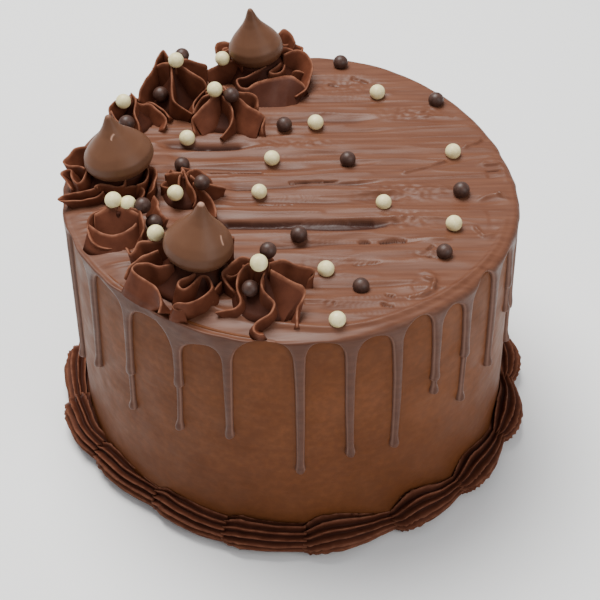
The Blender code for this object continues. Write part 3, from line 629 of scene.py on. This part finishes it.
def drip_list():
    """Every drip as (angle, tip height, end of the upper run): those shown, then the CAD's rule."""
    chance = random.Random(11)
    shape = random.Random(5)
    drips = list(SHOWN_DRIPS)
    first = SHOWN_DRIPS[-1][0]
    step = (SHOWN_DRIPS[0][0] + 360 - first) / (HIDDEN_DRIPS + 1)
    for number in range(1, HIDDEN_DRIPS + 1):
        angle = first + step * number + chance.uniform(-1.6, 1.6)
        tip = chance.uniform(36, 66)
        drips.append((angle % 360, tip, shape.choice((0.0, 0.0, 0.6, 0.75))))
    return [(*drip, shape.uniform(-0.7, 0.7)) for drip in sorted(drips)]


def by_angle(degrees, steps):
    """A value read between steps of (angle, value)."""
    angles, values = np.transpose(steps)
    return np.interp(degrees % 360, angles, values)


def skirt_edge(degrees, drips):
    """Height of the band's lower edge: a flat arch between each two drips."""
    angles = np.array([drip[0] for drip in drips])
    after = np.searchsorted(angles, degrees, side="right") % len(angles)
    left = angles[after - 1]
    width = (angles[after] - left) % 360
    place = 2 * ((degrees - left) % 360) / width - 1
    return by_angle(degrees, ARCH_TOPS) - ARCH_DEPTH * place ** 4


def drip_offset(degrees, height, drip):
    """Distance across from a drip's middle line, and how far down the drip a height is."""
    angle, tip, stop, sway = drip
    down = np.clip((DRIP_START - height) / (DRIP_START - tip), 0, 1)
    turn = (degrees - angle + 180) % 360 - 180
    across = np.radians(turn) * CAKE_RADIUS - sway * np.sin(np.pi * down)
    return np.abs(across), down


def drip_shape(degrees, height, drip):
    """How far a spot lies inside one drip: a tapering run, a thinner one and a bulb at the end."""
    angle, tip, stop, sway = drip
    across, down = drip_offset(degrees, height, drip)
    fallen = np.maximum(DRIP_START - height, 0)
    upper = 1.6 + 1.3 * np.exp(-fallen / 9)
    lower = 1.45
    if stop:
        bead = stop * (DRIP_START - tip)
        upper = upper + 0.35 * np.exp(-((fallen - bead) / 2.5) ** 2)
        lower = 1.1
    ends = smooth((down - (stop or 0.55)) / (0.03 if stop else 0.3))
    strip = upper + (lower - upper) * ends - across
    low = tip + BULB_RADIUS
    bulb = BULB_RADIUS - np.hypot(across, (height - low) * np.where(height > low, 0.6, 1.0))
    return np.where(height > low, smooth_max(strip, bulb, 0.8), bulb)


def ganache_field(degrees, height, drips):
    """How far a spot of the side lies inside the ganache; negative outside."""
    field = height - skirt_edge(degrees, drips)
    for drip in drips:
        field = smooth_max(field, drip_shape(degrees, height, drip), FLARE)
    return field


def ganache_thickness(degrees, height, drips):
    """Thickness of the ganache, fuller in the bulb at the end of each drip."""
    thick = np.full(len(degrees), GANACHE_THICKNESS)
    for drip in drips:
        tip, stop = drip[1:3]
        across, down = drip_offset(degrees, height, drip)
        near = np.exp(-(across / 3.0) ** 2)
        thick += 0.75 * near * np.exp(-((height - tip - BULB_RADIUS) / 2.6) ** 2)
        if stop:
            bead = DRIP_START - stop * (DRIP_START - tip)
            thick += 0.4 * near * np.exp(-((height - bead - 1.5) / 3.0) ** 2)
            thick -= 0.25 * near * smooth((bead - height) / 2)
    return thick


def ganache_rows():
    """Rows from low on the side, over the rim, to the centre: (unrolled place, columns)."""
    most = COLUMNS_BY_REACH[0][1]
    lowest = min(drip[1] for drip in SHOWN_DRIPS) - 2
    rows = [(RIM_ARC + SIDE_HEIGHT - height, most) for height in np.arange(lowest, SIDE_HEIGHT, SIDE_STEP)]
    rows += [(RIM_ARC * (1 - k / RIM_ROWS), most) for k in range(RIM_ROWS)]
    for k in range(int(FLAT_REACH / TOP_STEP)):
        left = FLAT_REACH - k * TOP_STEP
        rows.append((-k * TOP_STEP, next(columns for reach, columns in COLUMNS_BY_REACH if left > reach)))
    rows.append((-FLAT_REACH, 1))
    return rows


def join_rows(work, low, high):
    """Faces between two rows; where the inner row is coarser, two outer edges meet one."""
    if len(high) == 1:
        for start, stop in zip(low, low[1:]):
            work.faces.new((start, stop, high[0]))
        return
    ratio = (len(low) - 1) // (len(high) - 1)
    for k in range(len(high) - 1):
        corners = low[k * ratio:(k + 1) * ratio + 1] + [high[k + 1], high[k]]
        if max(corner.co.z for corner in corners) > 0:
            work.faces.new(corners)


def unrolled_sheet(drips):
    """The sheet before it is bent: X is the angle, Y the place along the profile, Z the depth inside."""
    work = bmesh.new()
    previous = None
    for place, columns in ganache_rows():
        degrees = np.linspace(0, 360, columns + 1 if columns > 1 else 1)
        field = ganache_field(degrees % 360, SIDE_HEIGHT + RIM_ARC - place, drips)
        field = np.clip(field, -4, 12)
        row = [work.verts.new((angle, place, depth)) for angle, depth in zip(degrees, field)]
        if previous:
            join_rows(work, previous, row)
        previous = row
    loose = [vertex for vertex in work.verts if not vertex.link_faces]
    bmesh.ops.delete(work, geom=loose, context="VERTS")
    for level in EDGE_CUTS:
        geom = work.verts[:] + work.edges[:] + work.faces[:]
        bmesh.ops.bisect_plane(work, geom=geom, plane_co=(0, 0, level), plane_no=(0, 0, 1),
                               clear_inner=level == 0.0)
    return work


def make_ganache(surface, drips):
    """The ganache: one sheet cut along the drips' outline, with a rounded bead at its edge."""
    work = unrolled_sheet(drips)
    spots = np.array([vertex.co[:] for vertex in work.verts])
    points, deep, edge = ganache_points(spots, drips)
    deep_mark = work.verts.layers.float.new("deep")
    edge_mark = work.verts.layers.float.new("edge")
    for vertex, point, low, pale in zip(work.verts, points * MM, deep, edge):
        vertex.co = point
        vertex[deep_mark] = low
        vertex[edge_mark] = pale
    bmesh.ops.remove_doubles(work, verts=work.verts[:], dist=WELD_DISTANCE)
    mesh = bpy.data.meshes.new("ganache_sheet")
    bmesh.ops.recalc_face_normals(work, faces=work.faces)
    work.to_mesh(mesh)
    work.free()
    return finish_piece(add_object("ganache_sheet", mesh, surface), "ganache", "ganache_cap")


def ganache_points(spots, drips):
    """Places in mm of unrolled spots (degrees, place along the profile, depth inside), and marks."""
    degrees = spots[:, 0] % 360
    place = spots[:, 1]
    depth = spots[:, 2]
    unrolled = SIDE_HEIGHT + RIM_ARC - place
    height = np.where(place > RIM_ARC, unrolled, SIDE_HEIGHT)
    bead = np.sqrt(1 - (1 - np.clip(depth / BEAD_WIDTH, 0, 1)) ** 2)
    thick = ganache_thickness(degrees, unrolled, drips)
    outer = side_radius(degrees, height) - UNDER + (thick + UNDER) * bead
    outer += RIM_WAVE * noise_at(on_circle(degrees, CAKE_RADIUS, height), 8, 18) * smooth((height - 82) / 15)
    turn = np.clip((RIM_ARC - place) / EDGE_RADIUS, 0, math.pi / 2)
    inward = np.clip(-place / FLAT_REACH, 0, 1)
    radius = (outer - EDGE_RADIUS * (1 - np.cos(turn))) * (1 - inward)
    points = on_circle(degrees, radius, height)
    x, y = points[:, 0], points[:, 1]
    over = np.sin(turn)
    rim = np.clip(side_radius(degrees, TOP_HEIGHT) - radius, 0, SHOULDER_WIDTH)
    sunk = by_angle(degrees, SHOULDER_DROP) * (1 - rim / SHOULDER_WIDTH) ** 2
    detail = top_detail(x, y)
    crest = TOP_HEIGHT - top_height(x, y) - detail + sunk
    points[:, 2] = height + EDGE_RADIUS * over - crest * over ** 2
    # Painted shade: darker in the grooves and cracks of the top, and by SIDE_SHADE over the side
    deep = 0.95 * smooth((crest - sunk - 0.5) / 1.7) * over + SIDE_SHADE * (1 - over)
    # A painted highlight line just inside the edge, where the bead would catch light
    edge = EDGE_PALE * np.exp(-((depth - 0.35) / 0.22) ** 2)
    return points, deep, edge


def line_distance(x, y, corners):
    """Distance of each place from a broken line through corners."""
    nearest = np.full(np.shape(x), 1000.0)
    for (ax, ay), (bx, by) in zip(corners, corners[1:]):
        long = (bx - ax) ** 2 + (by - ay) ** 2
        share = np.clip(((x - ax) * (bx - ax) + (y - ay) * (by - ay)) / long, 0, 1)
        nearest = np.minimum(nearest, np.hypot(x - ax - share * (bx - ax), y - ay - share * (by - ay)))
    return nearest


def top_detail(x, y):
    """Finer relief of the top: strokes, raised lines, curled stroke ends, torn patches and a lip."""
    flat = np.stack([x, y, np.zeros_like(x)], -1)
    rim = CAKE_RADIUS - np.hypot(x, y)
    inside = smooth((rim - 3) / 5)
    relief = 0.45 * noise_at(flat, (75, 7.5, 1), 7) + 0.20 * noise_at(flat, (40, 2.8, 1), 8)
    relief += 0.06 * noise_at(flat, (12, 1.5, 1), 10)
    for height, scale, seed in ((0.45, (90, 7, 1), 13), (0.30, (55, 4.5, 1), 15)):
        relief += height * np.exp(-np.abs(noise_at(flat, scale, seed)) / 0.09)
    torn = noise_at(flat, (3.5, 1.0, 1), 17)
    for half, deep, corners in CRACKS:
        crack = np.exp(-((line_distance(x, y, corners) + 0.25 * torn) / half) ** 2)
        relief -= deep * crack * smooth(1.0 + torn)
    for corners in CURLS:
        relief += 1.0 * np.exp(-(line_distance(x, y, corners) / 0.7) ** 2)
    for place, start, stop, height in RAISED_LINES:
        across = y - place - 0.9 * np.sin(x / 17 + place) - 0.3 * np.sin(x / 5.3 + 2 * place)
        along = smooth((x - start) / 6) * smooth((stop - x) / 3)
        relief += 1.3 * height * np.exp(-np.abs(across / 0.75) ** 1.5) * along
    for cx, cy, long, wide, turn, first, last in STROKE_ENDS:
        cos, sin = math.cos(math.radians(turn)), math.sin(math.radians(turn))
        u = ((x - cx) * cos + (y - cy) * sin) / long
        v = ((y - cy) * cos - (x - cx) * sin) / wide
        ring = (np.hypot(u, v) - 1) * wide
        way = np.degrees(np.arctan2(v, u))
        along = smooth((way - first) / 30) * smooth((last - way) / 30)
        relief += 0.75 * np.exp(-(ring / 0.8) ** 2) * along
        relief -= 0.25 * smooth(1 - np.hypot(u, v)) * along
    for cx, cy, long, wide in ROUGH_PATCHES:
        near = np.exp(-((x - cx) / long) ** 2 - ((y - cy) / wide) ** 2)
        relief += near * (0.7 * noise_at(flat, (2.2, 1.4, 1), 9) - 0.1)
    degrees = np.degrees(np.arctan2(y, x)) % 360
    lip = smooth((degrees - 232) / 12) * smooth((350 - degrees) / 30)
    across = side_radius(degrees, TOP_HEIGHT) - np.hypot(x, y) - by_angle(degrees, LIP_INSET)
    return relief * inside + 1.1 * lip * np.exp(-((across - 1.4) / 1.1) ** 2)


# The shell border

def shell_size(place, head, tail):
    rise = np.sqrt(np.clip(1 - ((0.3 - np.minimum(place, 0.3)) / 0.3) ** 2, 0, 1))
    fall = smooth((place - 0.3) / 0.85)
    return head * rise + (tail - head) * fall


def shell_starts():
    """Start angle of every shell, with the first one again at the end."""
    first = SHELL_STARTS[0] + 360
    behind = np.linspace(SHELL_STARTS[-1], first, HIDDEN_SHELLS + 2)[1:]
    return list(SHELL_STARTS) + list(behind)


def make_border(surface):
    """The border: overlapping star-piped shells, each with a fat head and a long tail."""
    chance = random.Random(3)
    sections = 42
    around = 126
    starts = shell_starts()
    points = []
    edges = []
    faces = []
    for start_angle, stop_angle in zip(starts, starts[1:]):
        middle = (start_angle + stop_angle) / 2
        head = by_angle(middle, SHELL_HEADS) * chance.uniform(0.96, 1.05)
        phase = chance.uniform(0, math.pi)
        swirl = chance.uniform(0.1, 0.5)
        place = np.linspace(0.0, 1.13, sections)[:, None]
        turn = np.linspace(0, 2 * math.pi, around, endpoint=False)[None, :]
        size = shell_size(place, head, by_angle(middle, SHELL_TAILS))
        curl = swirl * (1 - np.clip(place / 0.5, 0, 1)) ** 2
        ridge = 1 - np.abs(np.sin(SHELL_RIDGES / 2 * (turn + curl) + phase)) ** 0.8
        rho = size * (0.71 + 0.37 * ridge)
        degrees = start_angle + place * (stop_angle - start_angle)
        centre = SHELL_CENTRE - by_angle(degrees, BORDER_PULL) + 0.8 * np.sin(math.pi * np.minimum(place, 1))
        level = 5.5 + (0.97 * size - 5.5) * smooth(place / 0.3)
        radius = np.maximum(centre + rho * np.cos(turn), CAKE_RADIUS - 0.6)
        height = np.maximum(level + rho * np.sin(turn), 0.0)
        start = len(points) * sections * around
        points.append(on_circle(degrees + 0 * turn, radius, height).reshape(-1, 3))
        edges.append((ridge * smooth(size / 3) + 0 * turn).ravel())
        faces += tube_faces(sections, around, start)
    points = np.concatenate(points)
    points[:, :2] *= 1 + 0.3 / CAKE_RADIUS * noise_at(points, (6, 6, 3), 6)[:, None]
    edge = np.concatenate(edges)
    # Painted highlights on the shells' ridges and painted shade in the grooves between them
    marks = {"edge": edge ** 3, "deep": 0.85 * (1 - edge) ** 1.5}
    thing = new_mesh("shell_border_piped", points, faces, surface, marks)
    return finish_piece(thing, "buttercream", "shell_border")


# Rosettes

def soften(values, times):
    """Round off a line's corners in place, by averaging each point with its neighbours."""
    for _ in range(times):
        values[1:-1] = (values[:-2] + 2 * values[1:-1] + values[2:]) / 4


def through(corners):
    """A smooth curve through corners, one point about every half millimetre."""
    corners = np.array(corners, float)
    padded = np.vstack([2 * corners[0] - corners[1], corners, 2 * corners[-1] - corners[-2]])
    line = []
    for k in range(1, len(padded) - 2):
        before, start, stop, after = padded[k - 1:k + 3]
        count = max(int(np.linalg.norm(stop - start) / RIBBON_STEP), 2)
        for t in np.arange(count) / count:
            bend = 2 * before - 5 * start + 4 * stop - after
            turn = 3 * start - before - 3 * stop + after
            line.append(start + 0.5 * t * (stop - before + t * (bend + t * turn)))
    line.append(corners[-1])
    line = np.array(line)
    soften(line, 2)
    return line


def blade(top_plan, top_levels, foot_plan):
    """A thin standing sheet between a foot line on the cake and a rounded upper edge.

    Returns its points, faces, and for each point how much painted highlight it gets on the upper edge and how
    much painted shade it gets low on the sheet.
    """
    ahead = np.vstack([top_plan[1:], top_plan[-1:]])
    behind = np.vstack([top_plan[:1], top_plan[:-1]])
    along = ahead - behind
    along /= np.maximum(np.hypot(along[:, 0], along[:, 1]), 1e-6)[:, None]
    normal = np.stack([-along[:, 1], along[:, 0]], -1)
    other_side = [(up, -side) for up, side in RIBBON_PROFILE[-2::-1]]
    rows = []
    edge = []
    deep = []
    for up, side in (*RIBBON_PROFILE, *other_side):
        mix = up ** 1.2
        plan = foot_plan + (top_plan - foot_plan) * mix + normal * side * RIBBON_THICKNESS / 2
        rows.append(np.column_stack([plan, BASE_LEVEL + (top_levels - BASE_LEVEL) * up]))
        # Painted highlight along the upper edge, and painted shade towards the foot of the sheet
        edge.append(np.full(len(plan), smooth((up - 0.93) / 0.07)))
        deep.append(np.full(len(plan), 0.5 * smooth((0.75 - up) / 0.6)))
    points = np.stack(rows, 1).reshape(-1, 3)
    faces = tube_faces(len(top_plan), len(rows))
    return points, faces, np.stack(edge, 1).ravel(), np.stack(deep, 1).ravel()


def ribbon(name, corners):
    """A sheet hanging from a smooth upper edge through the corners down to the cake."""
    line = through(corners)
    plan = line[:, :2]
    centre = np.array(ROSETTES[name][:2])
    foot = line[:, 3:] if len(corners[0]) > 3 else centre + FOOT_PULL * (plan - centre)
    foot = foot * np.minimum(1, FOOT_LIMIT / np.hypot(foot[:, 0], foot[:, 1]))[:, None]
    points, faces, edge, deep = blade(plan, TOP_HEIGHT + line[:, 2], foot)
    # Ribbons with their feet given are broad leaning faces, and carry painted shade set by rosette
    if line.shape[1] > 3:
        deep = LEANING_SHADE.get(name, 0.1) * (1 - edge)
    return points, faces, edge, deep


def hidden_fins(name, chance):
    """S-curved fins from the rosette's middle out and down, on the side that the photo hides."""
    x, y, radius, height, (first, last, count) = ROSETTES[name]
    fins = []
    for number in range(count):
        angle = math.radians(first + (last - first) * (number + 0.5) / count)
        reach = radius * chance.uniform(0.88, 0.98)
        bend = chance.uniform(2.0, 3.0)
        corners = []
        for out, side, up in FIN_CURVE:
            far = out * reach
            across = side * bend
            corners.append((x + far * math.cos(angle) - across * math.sin(angle),
                            y + far * math.sin(angle) + across * math.cos(angle), up * height))
        fins.append(ribbon(name, corners))
    return fins


def drop_centre(name):
    """X and Y of the drop that a rosette holds, or None."""
    return next((spec[1:3] for spec in DROPS.values() if spec[0] == name), None)


def hidden_ruffle(name, chance):
    """A folded ribbon behind a drop, in and out like a ruff, where the photo doesn't show it."""
    x, y, radius, height, (first, last, folds) = ROSETTES[name]
    drop_x, drop_y = drop_centre(name)
    corners = []
    for step in range(6 * folds + 1):
        phase = 2 * math.pi * step / 6
        share = (step + 0.9 * math.sin(2 * phase)) / (6 * folds)
        angle = math.radians(first + (last - first) * share)
        swell = 0.5 - 0.5 * math.cos(phase)
        far = RUFFLE_INNER + (radius * chance.uniform(0.95, 1.05) - RUFFLE_INNER) * swell
        middle = (drop_x * (1 - swell) + x * swell, drop_y * (1 - swell) + y * swell)
        level = height - (0.2 + chance.uniform(0, 0.15)) * height * swell
        spot = np.array((middle[0] + far * math.cos(angle), middle[1] + far * math.sin(angle)))
        reach = min(1.0, RUFFLE_LIMIT / np.hypot(*spot))
        corners.append((*(spot * reach), level))
    return [ribbon(name, corners)]


def core(name, foot, top, height):
    """The rosette's solid middle: a wide foot that rises hollowly to a narrow top between the ribbons."""
    x, y = ROSETTES[name][:2]
    held = drop_centre(name)
    away = np.array(held) - (x, y) if held else np.zeros(2)
    around = 60
    turn = np.linspace(0, 2 * math.pi, around, endpoint=False)
    level = TOP_HEIGHT + CORE_STEP
    rings = [on_circle(np.degrees(turn), foot, BASE_LEVEL)]
    for up in np.linspace(0, 1, 12):
        reach = top + (foot - top) * (1 - up) ** CORE_HOLLOW
        ring = on_circle(np.degrees(turn), reach, level + (height - CORE_STEP) * up)
        ring[:, :2] += away * smooth(up)
        rings.append(ring)
    points = np.concatenate(rings) + (x, y, 0)
    points[:, :2] *= np.minimum(1, FOOT_LIMIT / np.hypot(points[:, 0], points[:, 1]))[:, None]
    faces = tube_faces(len(rings), around)
    # No painted highlight on the middle, and painted shade all over it
    return points, faces, np.zeros(len(points)), np.full(len(points), CORE_SHADE)


def make_rosette(name, surface, chance):
    """A piped rosette: the ribbons that show, those behind, and a low solid middle."""
    radius, height = ROSETTES[name][2:4]
    holds = drop_centre(name)
    blades = [ribbon(name, corners) for corners in RIBBONS[name]]
    blades += hidden_ruffle(name, chance) if holds else hidden_fins(name, chance)
    top = (8.7, DROP_SEAT) if holds else (0.8, 0.85 * height)
    blades.append(core(name, 0.72 * radius, *top))
    points = []
    faces = []
    edges = []
    deeps = []
    start = 0
    for spots, quads, edge, deep in blades:
        points.append(spots)
        edges.append(edge)
        deeps.append(deep)
        faces += [tuple(corner + start for corner in quad) for quad in quads]
        start += len(spots)
    points = np.concatenate(points)
    rise = smooth((points[:, 2] - TOP_HEIGHT) / 3)
    for axis, size, seed in ((0, 5, 11), (1, 5, 12), (2, 3, 14)):
        points[:, axis] += 0.3 * noise_at(points, size, seed) * rise
    marks = {"edge": np.concatenate(edges), "deep": np.concatenate(deeps)}
    thing = new_mesh(name + "_piped", points, faces, surface, marks)
    return finish_piece(thing, "buttercream", name)


# Drops and pearls

def drop_outline(rows):
    """Radius and height down the drop's smoothed profile."""
    corners = np.array(DROP_PROFILE, float)
    steps = np.r_[0, np.cumsum(np.hypot(*np.diff(corners, axis=0).T))]
    fine = np.linspace(0, steps[-1], rows)
    radius = np.interp(fine, steps, corners[:, 0])
    height = np.interp(fine, steps, corners[:, 1])
    soften(radius, rows // 20)
    soften(height, rows // 20)
    return radius, height


def scuff_mark(degrees, height, radius, scuff):
    """A pale nick as a value from 0 to 1: a short slanting stroke with a hooked end."""
    way, level, half_length, half_width, slant = scuff
    across = np.radians((degrees - way + 180) % 360 - 180) * radius
    up = height - level
    turn = math.radians(slant)
    u = across * math.cos(turn) + up * math.sin(turn)
    v = up * math.cos(turn) - across * math.sin(turn) + 0.25 * (u / half_length) ** 2
    return smooth(1.6 - np.abs(u / half_length) ** 4) * np.exp(-(v / half_width) ** 2)


def make_drop(name, surface, chance):
    """A pointed drop: a smooth turned form, then its lean, a soft wobble and small scuffs."""
    held, x, y, lean, wide, high = DROPS[name]
    rows = 150
    around = 200
    radius, height = drop_outline(rows)
    degrees = np.tile(np.arange(around) * 360 / around, rows)
    radius = np.repeat(radius, around)
    height = np.repeat(height, around)
    scuff = (0.75 if name == PALE_TIP else 0.1) * smooth((height - 20.6) / 0.8)
    for mark in SCUFFS.get(name, ()):
        nick = scuff_mark(degrees, height, radius, mark)
        scuff = np.maximum(scuff, nick)
        radius = radius + 0.12 * nick
    points = on_circle(degrees, radius, height)
    points += 0.14 * noise_at(points, 9, chance.uniform(1, 9))[:, None] * (1, 1, 0)
    points *= (wide, wide, high)
    faces = grid_faces(rows, around)
    thing = new_mesh(name + "_moulded", points, faces, surface, {"scuff": scuff})
    slope = math.tan(math.radians(lean))
    tilt = Vector((0, 0, 1)).rotation_difference(Vector((-slope, 0, 1)).normalized())
    place = tilt.to_matrix().to_4x4()
    place.translation = Vector((x, y, TOP_HEIGHT + DROP_SEAT + 0.3)) * MM
    thing.data.transform(place)
    face_outwards(thing.data, weld=True)
    return finish_piece(thing, "milk_chocolate", name)


def resting_height(tree, x, y):
    """Height of a pearl's centre when it is lowered from above until it touches."""
    best = top_height(x, y) + PEARL_RADIUS
    for ring in (0.0, 0.25, 0.5, 0.75, 0.95):
        for k in range(12 if ring else 1):
            turn = 2 * math.pi * k / 12
            far = ring * PEARL_RADIUS
            start = Vector((x + far * math.cos(turn), y + far * math.sin(turn), 200)) * MM
            hit = tree.ray_cast(start, Vector((0, 0, -1)))[0]
            if hit:
                best = max(best, hit.z / MM + math.sqrt(PEARL_RADIUS ** 2 - far ** 2))
    return best - PEARL_SINK


def make_pearls(name, surface, on_cap, on_rosettes, tree, chance):
    """All pearls of one colour, those on the ganache and those on the rosettes, a little uneven."""
    points = []
    faces = []
    rings = 14
    around = 24
    spots = [(x, y, top_height(x, y) + PEARL_RADIUS - PEARL_SINK) for x, y in on_cap]
    spots += [(x, y, resting_height(tree, x, y)) for x, y in on_rosettes]
    for x, y, z in spots:
        size = PEARL_RADIUS * chance.uniform(0.96, 1.03)
        down = np.linspace(0.02, math.pi - 0.02, rings)
        turn = np.linspace(0, 2 * math.pi, around, endpoint=False)
        ball = np.stack([np.outer(np.sin(down), np.cos(turn)), np.outer(np.sin(down), np.sin(turn)),
                         np.outer(np.cos(down), np.ones(around))], -1).reshape(-1, 3) * size
        ball *= (1, 1, chance.uniform(0.95, 1.0))
        start = len(points) * rings * around
        points.append(ball + (x, y, z))
        faces += tube_faces(rings, around, start)
    thing = new_mesh(name, np.concatenate(points), faces, surface)
    return finish_piece(thing, name[:-1], "ganache_cap")


def rosette_tree(rosettes):
    """A search tree over all rosettes, for lowering pearls onto them."""
    points = []
    polygons = []
    for thing in rosettes:
        start = len(points)
        points += [vertex.co.copy() for vertex in thing.data.vertices]
        polygons += [[start + k for k in polygon.vertices] for polygon in thing.data.polygons]
    return BVHTree.FromPolygons(points, polygons)


# Camera, light and floor

def make_camera():
    elevation = math.radians(CAMERA_ELEVATION)
    back = Vector((0, -math.cos(elevation), math.sin(elevation)))
    data = bpy.data.cameras.new("camera")
    data.sensor_width = SENSOR
    data.lens = FOCAL_PIXELS * SENSOR / PHOTO_SIZE
    data.shift_x = (PHOTO_SIZE / 2 - PHOTO_CENTRE[0]) / PHOTO_SIZE
    data.shift_y = (PHOTO_CENTRE[1] - PHOTO_SIZE / 2) / PHOTO_SIZE
    data.clip_end = 20
    camera = bpy.data.objects.new("camera", data)
    camera.location = Vector((0, 0, CAMERA_TARGET_HEIGHT * MM)) + back * CAMERA_DISTANCE * MM
    camera.rotation_mode = "QUATERNION"
    roll = Quaternion((0, 0, 1), math.radians(CAMERA_ROLL))
    camera.rotation_quaternion = back.to_track_quat("Z", "Y") @ roll
    bpy.context.scene.collection.objects.link(camera)
    bpy.context.scene.camera = camera


def area_light(name, location, size, power, colour):
    data = bpy.data.lights.new(name, "AREA")
    data.shape = "DISK"
    data.size = size
    data.energy = power
    data.color = colour
    light = bpy.data.objects.new(name, data)
    light.location = location
    light.rotation_mode = "QUATERNION"
    light.rotation_quaternion = (Vector(location) - LIGHT_AIM).to_track_quat("Z", "Y")
    bpy.context.scene.collection.objects.link(light)


def make_studio():
    """A pale seamless floor, a pale surround and soft lights from above."""
    surface = bpy.data.materials.new("studio_floor")
    surface.use_nodes = True
    shader = surface.node_tree.nodes["Principled BSDF"]
    shader.inputs["Base Color"].default_value = FLOOR_COLOUR
    shader.inputs["Roughness"].default_value = 0.7
    bpy.ops.mesh.primitive_plane_add(size=8, location=(0, 0, -0.0002))
    floor = bpy.context.object
    floor.name = "studio_floor"
    floor.data.materials.append(surface)
    world = bpy.data.worlds.new("studio")
    world.use_nodes = True
    sky = world.node_tree.nodes["Background"]
    sky.inputs["Color"].default_value = SKY_COLOUR
    sky.inputs["Strength"].default_value = SKY_STRENGTH
    bpy.context.scene.world = world
    for name, light in LIGHTS.items():
        area_light(name, *light)


def main():
    make_camera()
    drips = drip_list()
    chance = random.Random(21)
    make_side(frosting_material())
    make_ganache(ganache_material(), drips)
    buttercream = buttercream_material("buttercream")
    make_border(buttercream)
    rosettes = [make_rosette(name, buttercream, chance) for name in ROSETTES]
    chocolate = drop_material()
    for name in DROPS:
        make_drop(name, chocolate, chance)
    tree = rosette_tree(rosettes)
    cream = pearl_material("cream_pearl", (0.78, 0.68, 0.34), (0.88, 0.79, 0.45), 0.38)
    dark = pearl_material("dark_pearl", (0.045, 0.020, 0.014), (0.068, 0.033, 0.024), 0.45)
    make_pearls("cream_pearls", cream, CREAM_ON_CAP, CREAM_ON_ROSETTES, tree, chance)
    make_pearls("dark_pearls", dark, DARK_ON_CAP, DARK_ON_ROSETTES, tree, chance)
    make_studio()


main()
